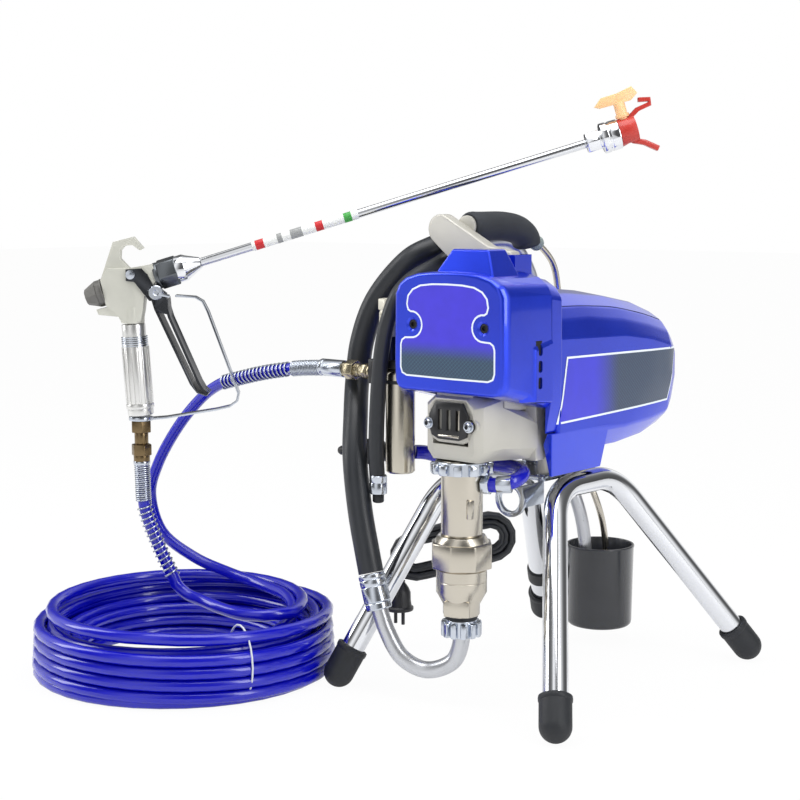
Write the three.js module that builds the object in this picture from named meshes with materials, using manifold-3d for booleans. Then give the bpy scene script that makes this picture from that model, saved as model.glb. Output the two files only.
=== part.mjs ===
// Airless paint sprayer on a four-legged stand, with its spray gun, pole, hose coil and mains lead.
// Millimetres, +Z up. The pump stands at the front (-Y), the motor lies along +Y behind it.
import * as THREE from 'three';
import { ConvexGeometry } from 'three/addons/geometries/ConvexGeometry.js';
import { mergeVertices } from 'three/addons/utils/BufferGeometryUtils.js';
import Module from 'manifold-3d';

const wasm = await Module();
wasm.setup();

// ---- driving dimensions ----
const GAP = 0.3;                 // gap that touching pieces keep
const FOOT_X = 149;              // half the foot spacing across the machine
const FOOT_FRONT_Y = -148;       // front feet
const FOOT_BACK_Y = 251;         // back feet
const LEG_R = 13.5;              // leg tube radius
const LEG_WALL = 2;              // leg tube wall
const CAP_R = 17.3;              // rubber foot radius
const CAP_H = 50;                // rubber foot height along the leg
const STAND_Z = 231;             // height of the stand's top runs
const STAND_BEND = 36;           // bend radius of the stand tubes
const STAND_RIGHT = [[46, -6], [46, 110]];
const STAND_LEFT = [[-77, -46], [-63, 92]];
const PLATE_TOP = 243;           // top of the mounting plate
const PLATE_T = 5;               // mounting plate thickness
const POST_XY = [[25, 5], [25, 75], [-45, 5], [-45, 75]];
const POST_R = 9;                // casting posts that stand on the plate
const EYE = [14, -45, 221];      // ring eye in the bracket
const EYE_R = 20;                // outer radius of the eye
const EYE_HOLE_R = 13.5;         // hole in the eye

const PUMP_Y = -114;             // pump axis, with x = 0
const CASE_Z = 272;              // underside of the gear housing nose
const CYL_R = 22.5;              // pump cylinder radius
const CYL_BORE_R = 14.6;         // pump cylinder bore
const CYL_BOTTOM = 190.3;        // lower end of the pump cylinder
const ROD_R = 9;                 // piston rod radius
const RUN = 0.6;                 // running clearance of rods and shafts
const JAM_R = 34;                // jam nut radius
const JAM_H = 13.7;              // jam nut height
const NUT_R = 34.5;              // large pump nut, across its corners
const NUT_H = 35;                // large pump nut height
const VALVE_R = 27.5;            // intake valve body radius
const VALVE_H = 52.4;            // intake valve body height
const VALVE_TIP_R = 20;          // intake valve body radius at its lower end
const UNION_R = 22;              // union nut radius
const UNION_H = 19;              // union nut height
const PIPE_R = 9.3;              // suction pipe radius
const PUMP_BORE_R = 9.7;         // passage through nut and valve body

const COVER_HALF = 71;           // half width of the front cover's face
const COVER_BACK_HALF = 77;      // half width where the two covers meet
const COVER_FRONT_Y = -141;      // face of the front cover
const COVER_SPLIT_Y = -60.6;     // back edge of the front cover
const COVER_TOP = 473;           // top of the front cover
const COVER_WALL = 4;            // wall of both covers
const SCREW_X = 47.7;            // screw holes in the face
const SCREW_Z = 416.5;
const SCREW_HOLE_R = 5.5;
const HUMP_TOP = 497;            // top of the hump
const MOTOR_Z = 368;             // motor axis
const MOTOR_R = 46;              // motor can radius
const MOTOR_END_Y = 165;         // rear end of the motor can
const MOTOR_COVER_END_Y = 225;   // rear end of the motor cover
const GEAR_Z = 336;              // crank gear axis
const GEAR_R = 25;               // crank gear radius
const PINION_R = 6.4;            // pinion radius
const CRANK_THROW = 8;           // crank eccentricity
const CRANK_PIN_R = 4.5;

const GRIP_R = 16.5;             // foam grip radius
const GRIP_X = -53;              // grip axis
const GRIP_Z = 518;
const ARM_T = 17;                // handle arm thickness
const ARM_Y = -58;               // front face of the handle arm

const BOWL_R = 16.5;             // filter bowl radius
const BOWL_XY = [-98, -101];
const BOWL_BOTTOM = 246;
const BOWL_TOP = 363;
const OUTLET_Y = -106;           // outlet axis
const OUTLET_Z = 357;

const CUP_XY = [-38, 214];       // drip cup axis
const CUP_R = 42;
const CUP_BOTTOM = 20;
const CUP_H = 102;
const CUP_WALL = 3;

const SUCTION_R = 14;            // suction hose radius
const DRAIN_R = 8.7;             // drain hose radius
const HOSE_R = 7;                // blue pressure hose radius
const COIL_XY = [-340, -208];    // hose coil axis
const COIL_R = 178;              // hose coil outer radius
const COIL_BORE_R = 110;         // hose coil inner radius
const COIL_H = 70;               // hose coil height

const GUN_AT = [-376, -238.6, 300.4];   // bottom of the gun handle
const GUN_YAW = 40.44;           // heading of the spray pole, degrees from +X
const GRIP_LEAN = -3.66;         // lean of the gun handle, degrees
const HANDLE_R = 16;             // gun handle radius
const HANDLE_H = 92;             // gun handle length
const BARREL_AT = [-36.9, 143.2];       // rear end of the barrel axis, in the gun's frame
const BARREL_TILT = 17;          // barrel and pole angle above level
const BODY_T = 25;               // gun body thickness
const POLE_R = 5;                // pole radius
const POLE_END = 574;            // pole end along the barrel axis
const TIP_S = 622;               // spray tip axis along the barrel axis

// ---- colours ----
const BLUE = [0x2a46d8, 0.28, 0.35];
const CHROME = [0xd6d8dc, 0.12, 1];
const ZINC = [0xb9bec6, 0.3, 1];
const STEEL = [0xb4b0a8, 0.32, 1];
const CAST = [0xb2b0a8, 0.6, 0.7];
const DARK_CAST = [0x6e6e6c, 0.6, 0.7];
const RUBBER = [0x1c2024, 0.7, 0];
const BLACK = [0x1c1d20, 0.35, 0];
const FOAM = [0x2c2f33, 0.9, 0];
const BRASS = [0xa08c62, 0.35, 1];
const HOSE_BLUE = [0x0a18d8, 0.25, 0];
const ALU = [0xcfcfc8, 0.35, 1];
const RED = [0xb83428, 0.4, 0];
const PEACH = [0xf6c494, 0.45, 0];

// ---- helpers ----
const V = (x, y, z) => new THREE.Vector3(x, y, z);
const rad = THREE.MathUtils.degToRad;

function toSolid(geometry) {
  const g = geometry.clone();
  g.deleteAttribute('normal');
  g.deleteAttribute('uv');
  const m = mergeVertices(g, 1e-4);
  const mesh = new wasm.Mesh({
    numProp: 3,
    vertProperties: new Float32Array(m.attributes.position.array),
    triVerts: new Uint32Array(m.index.array),
  });
  mesh.merge();
  return new wasm.Manifold(mesh);
}

function toGeometry(solid) {
  const mesh = solid.getMesh();
  const g = new THREE.BufferGeometry();
  g.setAttribute('position', new THREE.BufferAttribute(new Float32Array(mesh.vertProperties), 3));
  g.setIndex(new THREE.BufferAttribute(new Uint32Array(mesh.triVerts), 1));
  return g;
}

function join(first, ...rest) {
  let s = toSolid(first);
  for (const g of rest) s = s.add(toSolid(g));
  return toGeometry(s);
}

function cut(base, ...tools) {
  let s = toSolid(base);
  for (const g of tools) s = s.subtract(toSolid(g));
  return toGeometry(s);
}

// box from low corner to high corner
function block(x0, x1, y0, y1, z0, z1) {
  return new THREE.BoxGeometry(x1 - x0, y1 - y0, z1 - z0)
    .translate((x0 + x1) / 2, (y0 + y1) / 2, (z0 + z1) / 2);
}

// cylinder along an axis ('x', 'y' or 'z') between two positions on it
function rod(axis, a, b, r, at, sides = 16, r2 = r) {
  const g = new THREE.CylinderGeometry(r2, r, b - a, sides);
  if (axis === 'z') g.rotateX(Math.PI / 2).translate(at[0], at[1], (a + b) / 2);
  if (axis === 'y') g.translate(at[0], (a + b) / 2, at[1]);
  if (axis === 'x') g.rotateZ(-Math.PI / 2).translate((a + b) / 2, at[0], at[1]);
  return g;
}

// solid of revolution about z; profile of [radius, height], taken anticlockwise
function turned(profile, sides = 20) {
  const points = profile.map((p) => new THREE.Vector2(p[0], p[1]));
  if (THREE.ShapeUtils.area(points) < 0) points.reverse();
  return new THREE.LatheGeometry(points, sides).rotateX(Math.PI / 2);
}

// tube with round section along a path
function pipe(path, r, sides = 12, steps = 24) {
  const section = new THREE.Shape();
  for (let i = 0; i < sides; i++) {
    const a = (i / sides) * Math.PI * 2;
    if (i === 0) section.moveTo(r * Math.cos(a), r * Math.sin(a));
    else section.lineTo(r * Math.cos(a), r * Math.sin(a));
  }
  section.closePath();
  return new THREE.ExtrudeGeometry(section, { steps, extrudePath: path, bevelEnabled: false });
}

const smooth = (points) => new THREE.CatmullRomCurve3(points.map((p) => V(...p)), false, 'centripetal');

// straight runs joined by round bends
function bentPath(points, bend) {
  const path = new THREE.CurvePath();
  const p = points.map((q) => V(...q));
  let from = p[0];
  for (let i = 1; i < p.length - 1; i++) {
    const back = p[i - 1].clone().sub(p[i]).normalize();
    const ahead = p[i + 1].clone().sub(p[i]).normalize();
    const a = p[i].clone().addScaledVector(back, bend);
    const b = p[i].clone().addScaledVector(ahead, bend);
    path.add(new THREE.LineCurve3(from, a));
    path.add(new THREE.QuadraticBezierCurve3(a, p[i], b));
    from = b;
  }
  path.add(new THREE.LineCurve3(from, p[p.length - 1]));
  return path;
}

// plate whose outline lies in x and z, between two y positions
function plate(outline, y0, y1) {
  const s = new THREE.Shape(outline.map((p) => new THREE.Vector2(p[0], p[1])));
  return new THREE.ExtrudeGeometry(s, { depth: y1 - y0, bevelEnabled: false })
    .rotateX(Math.PI / 2).translate(0, y1, 0);
}

// flat strip that follows a polyline in x and z
function ribbon(line, thick, y0, y1) {
  const left = [];
  const right = [];
  for (let i = 0; i < line.length; i++) {
    const a = line[Math.max(i - 1, 0)];
    const b = line[Math.min(i + 1, line.length - 1)];
    const d = new THREE.Vector2(b[0] - a[0], b[1] - a[1]).normalize();
    left.push([line[i][0] - d.y * thick / 2, line[i][1] + d.x * thick / 2]);
    right.unshift([line[i][0] + d.y * thick / 2, line[i][1] - d.x * thick / 2]);
  }
  return plate([...left, ...right], y0, y1);
}

const hull = (points) => new ConvexGeometry(points.map((p) => V(...p)));

// cross-section of a cover at one y: pairs of [half width, height], mirrored
const station = (y, half) => half.flatMap(([x, z]) => [[x, y, z], [-x, y, z]]);

function make(name, geometry, [color, roughness, metalness], parent) {
  geometry.computeVertexNormals();
  const mesh = new THREE.Mesh(geometry, new THREE.MeshStandardMaterial({ color, roughness, metalness }));
  mesh.name = name;
  parent.add(mesh);
  return mesh;
}

const machine = new THREE.Group();

// ---- stand ----
function legEnd(foot, top) {
  const base = V(foot[0], foot[1], CAP_R);
  const up = V(top[0], top[1], STAND_Z).sub(base).normalize();
  return { base, up, start: base.clone().addScaledVector(up, 3 + GAP) };
}

function standFrame(side, tops) {
  const front = legEnd([side * FOOT_X, FOOT_FRONT_Y], tops[0]);
  const back = legEnd([side * FOOT_X, FOOT_BACK_Y], tops[1]);
  const path = bentPath([
    front.start.toArray(), [...tops[0], STAND_Z], [...tops[1], STAND_Z], back.start.toArray(),
  ], STAND_BEND);
  return pipe(path, LEG_R, 12, 28);
}

function footCap() {
  const profile = [];
  for (let i = 0; i <= 4; i++) {
    const a = (i / 4) * Math.PI / 2;
    profile.push([CAP_R * Math.sin(a), -CAP_R * Math.cos(a)]);
  }
  profile.push([CAP_R, CAP_H - CAP_R], [LEG_R + 2 * GAP, CAP_H - CAP_R], [LEG_R + 2 * GAP, 3], [0, 3]);
  return turned(profile, 16);
}

function placeCap(name, foot, top) {
  const end = legEnd(foot, top);
  const mesh = make(name, footCap(), RUBBER, machine);
  mesh.position.copy(end.base);
  mesh.quaternion.setFromUnitVectors(V(0, 0, 1), end.up);
}

make('frame_right', standFrame(1, STAND_RIGHT), CHROME, machine);
make('frame_left', standFrame(-1, STAND_LEFT), CHROME, machine);
placeCap('foot_cap_front_right', [FOOT_X, FOOT_FRONT_Y], STAND_RIGHT[0]);
placeCap('foot_cap_back_right', [FOOT_X, FOOT_BACK_Y], STAND_RIGHT[1]);
placeCap('foot_cap_front_left', [-FOOT_X, FOOT_FRONT_Y], STAND_LEFT[0]);
placeCap('foot_cap_back_left', [-FOOT_X, FOOT_BACK_Y], STAND_LEFT[1]);

// Zinc plate welded between the two tube frames, with the ring-eye bracket at its front edge
function mountingPlate() {
  const low = PLATE_TOP - PLATE_T;
  const reach = Math.sqrt(LEG_R ** 2 - (low - STAND_Z) ** 2) + GAP;
  const right = STAND_RIGHT[0][0] - reach;
  const leftAt = (y) => {
    const [a, b] = STAND_LEFT;
    return a[0] + (b[0] - a[0]) * (y - a[1]) / (b[1] - a[1]) + reach + GAP;
  };
  const outline = [[leftAt(-8), -8], [right, -8], [right, 90], [leftAt(90), 90]];
  const shape = new THREE.Shape(outline.map((p) => new THREE.Vector2(...p)));
  const top = new THREE.ExtrudeGeometry(shape, { depth: PLATE_T, bevelEnabled: false })
    .translate(0, 0, low);
  const flangeX = right - 3;
  const eye = rod('y', EYE[1] - 2, EYE[1] + 2, EYE_R, [EYE[0], EYE[2]], 20);
  const web = block(EYE[0], flangeX, EYE[1] - 2, EYE[1] + 2, EYE[2] - 8, PLATE_TOP - 6);
  const flange = block(flangeX - 4, flangeX, EYE[1] - 2, -6, EYE[2] - 8, PLATE_TOP - 6);
  const rise = block(flangeX - 4, flangeX, -12, -6, EYE[2] - 8, PLATE_TOP);
  return cut(join(top, rise, flange, web, eye), rod('y', EYE[1] - 4, EYE[1] + 4, EYE_HOLE_R, [EYE[0],
    EYE[2]], 18));
}
make('mounting_plate', mountingPlate(), ZINC, machine);

// ---- gear housing and drive ----
function gearHousing() {
  const nose = hull([
    ...station(-134, [[22, CASE_Z + 2], [31, CASE_Z + 11], [31, 330], [22, 338]]),
    ...station(-126, [[30, CASE_Z], [38, CASE_Z + 12], [38, 332], [26, 342]]),
    ...station(-100, [[32, CASE_Z], [44, CASE_Z + 14], [44, 338], [30, 345]]),
  ]);
  const flare = hull([
    ...station(-100, [[32, CASE_Z], [44, CASE_Z + 14], [44, 330]]),
    ...station(-58, [[50, CASE_Z], [59, CASE_Z + 12], [59, 310], [45, 322]]),
  ]);
  const neck = block(-24, 24, -127, -96, 330, 376);
  const upper = join(block(-44, 44, -98, -58, 325, 360), block(-56, 56, -98, -58, 355, 440));
  const flange = block(-58, 58, -60, -44, CASE_Z - 2, 440);
  const bed = hull([
    ...station(-60, [[56, CASE_Z - 2], [58, 300]]),
    ...station(92, [[50, 276], [50, 300]]),
  ]);
  let body = join(nose, flare, neck, upper, flange, bed);
  for (const [x, y] of POST_XY) body = join(body, rod('z', PLATE_TOP + GAP, 282, POST_R, [x, y], 20));
  for (const s of [-1, 1]) {
    body = join(body, rod('y', COVER_FRONT_Y + COVER_WALL + GAP, -90, 5, [s * SCREW_X, SCREW_Z], 12));
    body = join(body, block(s > 0 ? 50 : -72, s > 0 ? 72 : -50, -56, -46, 350, 380));
  }
  const yoke = CRANK_THROW * 2 + CRANK_PIN_R + 0.7;
  return cut(body,
    block(-19, 19, -122.5, -95, 288, GEAR_Z + yoke + 4 + CRANK_THROW + 2),
    rod('y', -96, -77, GEAR_R + 2, [0, GEAR_Z], 20),
    rod('y', -97, -40, PINION_R + 1.6, [0, MOTOR_Z], 20),
    block(-24, 24, -140, -120, 290, 331),
    rod('z', CASE_Z - 6, 292, ROD_R + RUN, [0, PUMP_Y], 20));
}
make('gear_housing', gearHousing(), CAST, machine);

// Black plate with three slots over the crank opening, held by two screws
function windowCover() {
  const y1 = -134 - GAP;
  const body = join(
    plate([[-23, 300], [-14, 296], [14, 296], [23, 300], [26, 310], [26, 322], [18, 336], [-18, 336],
      [-26, 322], [-26, 310]], y1 - 3.5, y1),
    rod('y', y1 - 3.5, y1, 6.5, [-27, 312], 16),
    rod('y', y1 - 3.5, y1, 6.5, [27, 312], 16),
    rod('y', y1 - 6, y1 - 3, 4, [-27, 312], 6),
    rod('y', y1 - 6, y1 - 3, 4, [27, 312], 6));
  const slots = [-12, 0, 12].map((x) => block(x - 2.6, x + 2.6, y1 - 5, y1 + 1, 306, 328));
  return cut(body, ...slots);
}
make('window_cover', windowCover(), BLACK, machine);

function motorCan() {
  return cut(rod('y', -44 + GAP, MOTOR_END_Y, MOTOR_R, [0, MOTOR_Z], 20),
    rod('y', -46, MOTOR_END_Y - 3, MOTOR_R - 3, [0, MOTOR_Z], 20),
    rod('y', MOTOR_END_Y - 5, MOTOR_END_Y + 1, PINION_R + GAP, [0, MOTOR_Z], 16));
}
make('motor_can', motorCan(), DARK_CAST, machine);

// Rotor: pinion shaft, core and cooling fan
make('rotor', join(
  rod('y', -94, MOTOR_END_Y - 1, PINION_R, [0, MOTOR_Z], 16),
  rod('y', 0, MOTOR_END_Y - 45, 30, [0, MOTOR_Z], 18),
  rod('y', MOTOR_END_Y - 30, MOTOR_END_Y - 16, 38, [0, MOTOR_Z], 18)), STEEL, machine);

// Crank gear with its eccentric pin
make('crank_gear', join(
  rod('y', -92, -78, GEAR_R, [0, GEAR_Z], 20),
  rod('y', -117, -90, CRANK_PIN_R, [0, GEAR_Z + CRANK_THROW], 14)), STEEL, machine);

// Slotted yoke that the crank pin drives
function connectingYoke() {
  const w = CRANK_THROW + CRANK_PIN_R + 0.7;
  const h = CRANK_THROW * 2 + CRANK_PIN_R + 0.7;
  return cut(block(-w - 4, w + 4, -119, -108, GEAR_Z - h - 4, GEAR_Z + h + 4),
    block(-w, w, -121, -106, GEAR_Z - h, GEAR_Z + h));
}
make('connecting_yoke', connectingYoke(), STEEL, machine);
const YOKE_BOTTOM = GEAR_Z - (CRANK_THROW * 2 + CRANK_PIN_R + 0.7) - 4;
make('piston_rod', join(
  rod('z', 205, YOKE_BOTTOM - GAP, ROD_R, [0, PUMP_Y], 20),
  rod('z', 203, 219, CYL_BORE_R - RUN, [0, PUMP_Y], 18)), CHROME, machine);

// ---- pump ----
const pump = new THREE.Group();
pump.position.set(0, PUMP_Y, 0);
machine.add(pump);
const CYL_TOP = CASE_Z - GAP;
make('pump_cylinder', cut(rod('z', CYL_BOTTOM, CYL_TOP, CYL_R, [0, 0], 20),
  rod('z', CYL_BOTTOM - 2, CYL_TOP - 8, CYL_BORE_R, [0, 0], 20),
  rod('z', CYL_TOP - 10, CYL_TOP + 1, ROD_R + RUN, [0, 0], 20)), STEEL, pump);

function jamNut() {
  const top = CASE_Z - 1.5 * GAP;
  const low = top - JAM_H;
  let nut = rod('z', low, top, JAM_R - 5, [0, 0], 20);
  for (let i = 0; i < 6; i++) {
    nut = join(nut, block(-JAM_R, JAM_R, -4.5, 4.5, low, top - 3).rotateZ(i * Math.PI / 6));
  }
  return cut(nut, rod('z', low - 1, top + 1, CYL_R + GAP, [0, 0], 20));
}
make('jam_nut', jamNut(), ZINC, pump);

const NUT_TOP = CYL_BOTTOM - GAP;
make('pump_nut', cut(join(
  rod('z', NUT_TOP - NUT_H, NUT_TOP - 7, NUT_R, [0, 0], 8),
  rod('z', NUT_TOP - 8, NUT_TOP, NUT_R - 6, [0, 0], 18)),
rod('z', NUT_TOP - NUT_H - 1, NUT_TOP + 1, PUMP_BORE_R, [0, 0], 20)), STEEL, pump);

const VALVE_TOP = NUT_TOP - NUT_H - GAP;
const VALVE_LOW = VALVE_TOP - VALVE_H;
make('intake_valve_body', turned([
  [PUMP_BORE_R, VALVE_LOW], [VALVE_TIP_R - 1, VALVE_LOW], [VALVE_TIP_R, VALVE_LOW + 2],
  [VALVE_TIP_R, VALVE_LOW + 12], [VALVE_R, VALVE_LOW + 26], [VALVE_R, VALVE_TOP - 2],
  [VALVE_R - 2, VALVE_TOP], [PUMP_BORE_R, VALVE_TOP], [PUMP_BORE_R, VALVE_LOW]], 20), STEEL, pump);

const UNION_TOP = VALVE_LOW - GAP;
function unionNut() {
  const low = UNION_TOP - 4 - UNION_H;
  let nut = join(rod('z', low, UNION_TOP - 4, UNION_R - 3, [0, 0], 18),
    rod('z', UNION_TOP - 5, UNION_TOP, UNION_R - 4, [0, 0], 18));
  for (let i = 0; i < 6; i++) {
    nut = join(nut, block(-UNION_R, UNION_R, -3, 3, low + 2, UNION_TOP - 6).rotateZ(i * Math.PI / 6));
  }
  return cut(nut, rod('z', low - 1, UNION_TOP + 1, PIPE_R + 2 * GAP, [0, 0], 20));
}
make('union_nut', unionNut(), ZINC, pump);

// ---- covers ----
function frontCover() {
  const face = [[COVER_HALF - 9, 345], [COVER_HALF, 353], [COVER_HALF, 452], [COVER_HALF - 14, 467],
    [28, COVER_TOP - 1], [0, COVER_TOP]];
  const mid = face.map(([x, z]) => [x + 3, z + 1]);
  const back = [[COVER_BACK_HALF - 6, 326], [COVER_BACK_HALF, 334], [COVER_BACK_HALF, 452],
    [COVER_BACK_HALF - 18, 468], [30, COVER_TOP + 1], [0, COVER_TOP + 1]];
  const inset = (pts, d) => pts.map(([x, z]) => [Math.max(x - d, 0), z > 400 ? z - d : z + d]);
  const outer = hull([...station(COVER_FRONT_Y, face), ...station(COVER_FRONT_Y + 6, mid),
    ...station(COVER_SPLIT_Y, back)]);
  const hump = hull([
    [-29, -130, 470], [53, -130, 470], [-29, -84, 470], [53, -84, 470],
    [-9, -120, HUMP_TOP], [39, -120, HUMP_TOP], [-9, -92, HUMP_TOP], [39, -92, HUMP_TOP]]);
  const inner = hull([...station(COVER_FRONT_Y + COVER_WALL, inset(face, COVER_WALL)),
    ...station(COVER_SPLIT_Y + 2, inset(back, COVER_WALL))]);
  const humpInner = hull([
    [-25, -126, 462], [49, -126, 462], [-25, -88, 462], [49, -88, 462],
    [-6, -117, HUMP_TOP - 4], [36, -117, HUMP_TOP - 4], [-6, -95, HUMP_TOP - 4], [36, -95, HUMP_TOP - 4]]);
  const holes = [-1, 1].map((s) => rod('y', COVER_FRONT_Y - 5, COVER_FRONT_Y + 8, SCREW_HOLE_R,
    [s * SCREW_X, SCREW_Z], 16));
  const throat = block(-46, 46, COVER_FRONT_Y + COVER_WALL, COVER_SPLIT_Y + 2, 300, 350);
  const side = block(-90, -60, -88, COVER_SPLIT_Y + 2, 341, 376);
  const vents = [0, 1, 2].map((i) => block(60, 90, -92, -84, 352 + i * 17, 364 + i * 17));
  return cut(join(outer, hump), inner, humpInner, throat, side, ...holes, ...vents);
}
make('front_cover', frontCover(), BLUE, machine);

function motorCover() {
  const y0 = COVER_SPLIT_Y + 2 * GAP;
  const collar = [
    [y0, [[COVER_BACK_HALF - 6, 300], [COVER_BACK_HALF, 334], [COVER_BACK_HALF, 452],
      [COVER_BACK_HALF - 18, 468], [0, COVER_TOP + 1]]],
    [y0 + 20, [[COVER_BACK_HALF - 6, 300], [COVER_BACK_HALF, 334], [COVER_BACK_HALF, 448],
      [COVER_BACK_HALF - 20, 462], [0, 466]]]];
  const hood = [
    [y0 + 18, [[60, 272], [75, 296], [75, 400], [60, 434], [40, 449], [0, 453]]],
    [90, [[60, 272], [75, 296], [75, 398], [60, 428], [40, 441], [0, 445]]],
    [195, [[50, 282], [68, 300], [70, 380], [58, 406], [40, 417], [0, 421]]],
    [MOTOR_COVER_END_Y - 6, [[40, 318], [62, 326], [63, 366], [52, 386], [0, 400]]],
    [MOTOR_COVER_END_Y, [[30, 332], [52, 338], [54, 360], [40, 374], [0, 380]]]];
  const inset = (pts, d) => pts.map(([x, z]) => [Math.max(x - d, 0), z > 350 ? z - d : z + d]);
  const points = (list, d, dy) => list.flatMap(([y, pts], i) => station(y + dy[i], inset(pts, d)));
  const outer = join(hull(points(collar, 0, [0, 0])), hull(points(hood, 0, [0, 0, 0, 0, 0])));
  const inCollar = hull(points(collar, COVER_WALL, [-2, -3]));
  const inHood = hull(points(hood, COVER_WALL, [-26, 0, -3, -4, -4]));
  const skirt = (s) => block(s > 0 ? 60 : -64, s > 0 ? 64 : -60, s > 0 ? -56 : -18, 56, 250, 300);
  const slot = block(6.5, 35.5, y0 - 2, y0 + 20, 425, 480);
  const belly = block(-59.5, 59.5, y0 - 2, 100, 240, 300);
  const rocker = block(-90, -60, 95 - 8, 95 + 8, 345 - 13, 345 + 13);
  return cut(join(outer, skirt(1), skirt(-1)), inCollar, inHood, slot, belly, rocker);
}
make('motor_cover', motorCover(), BLUE, machine);

// ---- carrying handle ----
const GRIP_PATH = [[GRIP_X, ARM_Y + ARM_T + GAP, GRIP_Z + 1], [GRIP_X, 30, GRIP_Z],
  [GRIP_X, 56, GRIP_Z - 5], [GRIP_X, 70, GRIP_Z - 14], [GRIP_X, 73, GRIP_Z - 23]];

function handleArm() {
  const y1 = ARM_Y + ARM_T;
  const slab = plate([[-72, 531], [-10, 498], [20, 493], [34, 468], [34, 440 + GAP], [8, 440 + GAP],
    [8, 477], [-55, 479], [-61, 481], [-89, 503]], ARM_Y, y1);
  const end = rod('y', ARM_Y, y1, 15.8, [-78, 516], 18);
  const core = pipe(smooth([[GRIP_X, y1 - 3, GRIP_Z + 1], ...GRIP_PATH.slice(1, 4)]), 8, 10, 8);
  const collar = rod('y', y1 - 1, y1 + 3, 12, [GRIP_X, GRIP_Z + 1], 20);
  return join(slab, end, collar, core);
}
make('handle_arm', handleArm(), CAST, machine);

function handleGrip() {
  const path = [[GRIP_X, ARM_Y + ARM_T + 3 + GAP, GRIP_Z + 1], ...GRIP_PATH.slice(1)];
  const bore = [[GRIP_X, ARM_Y, GRIP_Z + 1], ...GRIP_PATH.slice(1, 4)];
  return cut(pipe(smooth(path), GRIP_R, 16, 10), pipe(smooth(bore), 8 + 3 * GAP, 10, 10));
}
make('handle_grip', handleGrip(), FOAM, machine);

// ---- filter, outlet and valves on the left side ----
make('filter_bowl', turned([
  [BOWL_R - 4, BOWL_BOTTOM + 3], [BOWL_R - 4, BOWL_TOP - 8], [6, BOWL_TOP - 4], [6, BOWL_TOP],
  [BOWL_R - 5, BOWL_TOP], [BOWL_R, BOWL_TOP - 8], [BOWL_R, BOWL_BOTTOM + 2],
  [BOWL_R - 2, BOWL_BOTTOM], [0, BOWL_BOTTOM], [0, BOWL_BOTTOM + 3], [BOWL_R - 4, BOWL_BOTTOM + 3]], 20)
  .translate(...BOWL_XY, 0), STEEL, machine);
make('filter_element', rod('z', BOWL_BOTTOM + 3 + GAP, BOWL_TOP - 10, 9, BOWL_XY, 16), ALU, machine);

function manifoldHead() {
  const lid = BOWL_TOP + GAP;
  const back = BOWL_XY[1] + BOWL_R + GAP;
  return join(block(-131, -90, -118, back + 20, lid, lid + 9),
    block(-131, -117, -118, back + 20, OUTLET_Z - 12, lid + 9),
    block(-131, -58 - GAP, back, back + 18, OUTLET_Z - 12, lid + 9),
    rod('z', lid + 8, 398, 9, [-108.5, OUTLET_Y], 16));
}
make('manifold_head', manifoldHead(), BLACK, machine);
make('filter_cap', join(rod('z', 398 + GAP, 428, 11.5, [-108.5, OUTLET_Y], 18),
  rod('z', 427, 440, 13.5, [-108.5, OUTLET_Y], 6)), CAST, machine);

make('prime_valve_body', rod('x', -130, BOWL_XY[0] - Math.sqrt(BOWL_R ** 2 - 9 ** 2) - 3, 10, [-92, 264],
  16),
  BLACK, machine);
const PRIME_X = -130 - GAP - 9;
make('prime_valve_handle', join(
  rod('y', -101, -83, 15, [PRIME_X - 6, 264], 20),
  rod('x', -198, PRIME_X - 6, 5.5, [-92, 260], 12)), BLACK, machine);

make('outlet_fitting', join(
  rod('x', -152, -131 - GAP, 7, [OUTLET_Y, OUTLET_Z], 16),
  rod('x', -146, -138, 9.5, [OUTLET_Y, OUTLET_Z], 6),
  rod('x', -176, -152, 7.5, [OUTLET_Y, OUTLET_Z], 16),
  rod('x', -172, -158, 11.5, [OUTLET_Y, OUTLET_Z], 6)), BRASS, machine);

const SHORT_HOSE = [[21.9, -106.2, 246.5], [40, -99.5, 247], [50, -86, 251], [46, -67, 255], [28, -50, 257],
  [0, -43, 257], [-38, -42, 257], [-64, -48, 258], [-78, -63, 263], [-84, -76.7, 267], [-89.2, -85.8, 268]];
make('pressure_hose', pipe(smooth(SHORT_HOSE), 8, 8, 26), HOSE_BLUE, machine);

make('pressure_knob', rod('x', -94, -75.2, 19, [30, 350], 18), BLACK, machine);
make('power_switch', rod('y', 95 - 7.5, 95 + 7.5, 12, [-68.5, 345], 20), BLACK, machine);

// ---- suction set ----
const J_PIPE = [[0, PUMP_Y, UNION_TOP - GAP], [0, PUMP_Y, 88], [0, PUMP_Y, 73], [-9, PUMP_Y - 3, 49],
  [-38, -127, 36],
  [-64, -137, 47], [-82, -143, 76], [-91, -146, 102]];
function suctionPipeLower() {
  const end = V(-91, -146, 102);
  const dir = V(-11, 0, 36).normalize();
  const q = new THREE.Quaternion().setFromUnitVectors(V(0, 0, 1), dir);
  const ferrule = rod('z', -3, 37, SUCTION_R + 1, [0, 0],
    20).applyQuaternion(q).translate(...end.toArray());
  return join(pipe(smooth(J_PIPE), PIPE_R, 12, 18), ferrule);
}
make('suction_pipe_lower', suctionPipeLower(), ALU, machine);
const SUCTION = [[-102.1, -146, 138.4], [-108, -145, 158], [-124.5, -139, 205], [-141, -129, 262],
  [-157, -110, 302],
  [-179, -82, 344], [-180, -72, 388], [-168, -60, 434], [-130, -46, 480], [-116, -28, 492], [-113, 0, 498],
  [-112, 25, 498]];
make('suction_hose', pipe(smooth(SUCTION), SUCTION_R, 10, 24), RUBBER, machine);
const UPPER_PIPE = [[-111.8, 25 + 6 * GAP, 498], [-105, 62, 499], [-98, 103, 496], [-94, 136, 460],
  [-93, 150, 400],
  [-92, 158, 310], [-75, 166, 236], [-52, 178, 184], [-44, 187, 135],
    [-43, 190, CUP_BOTTOM + CUP_WALL + 2 * GAP]];
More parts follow.
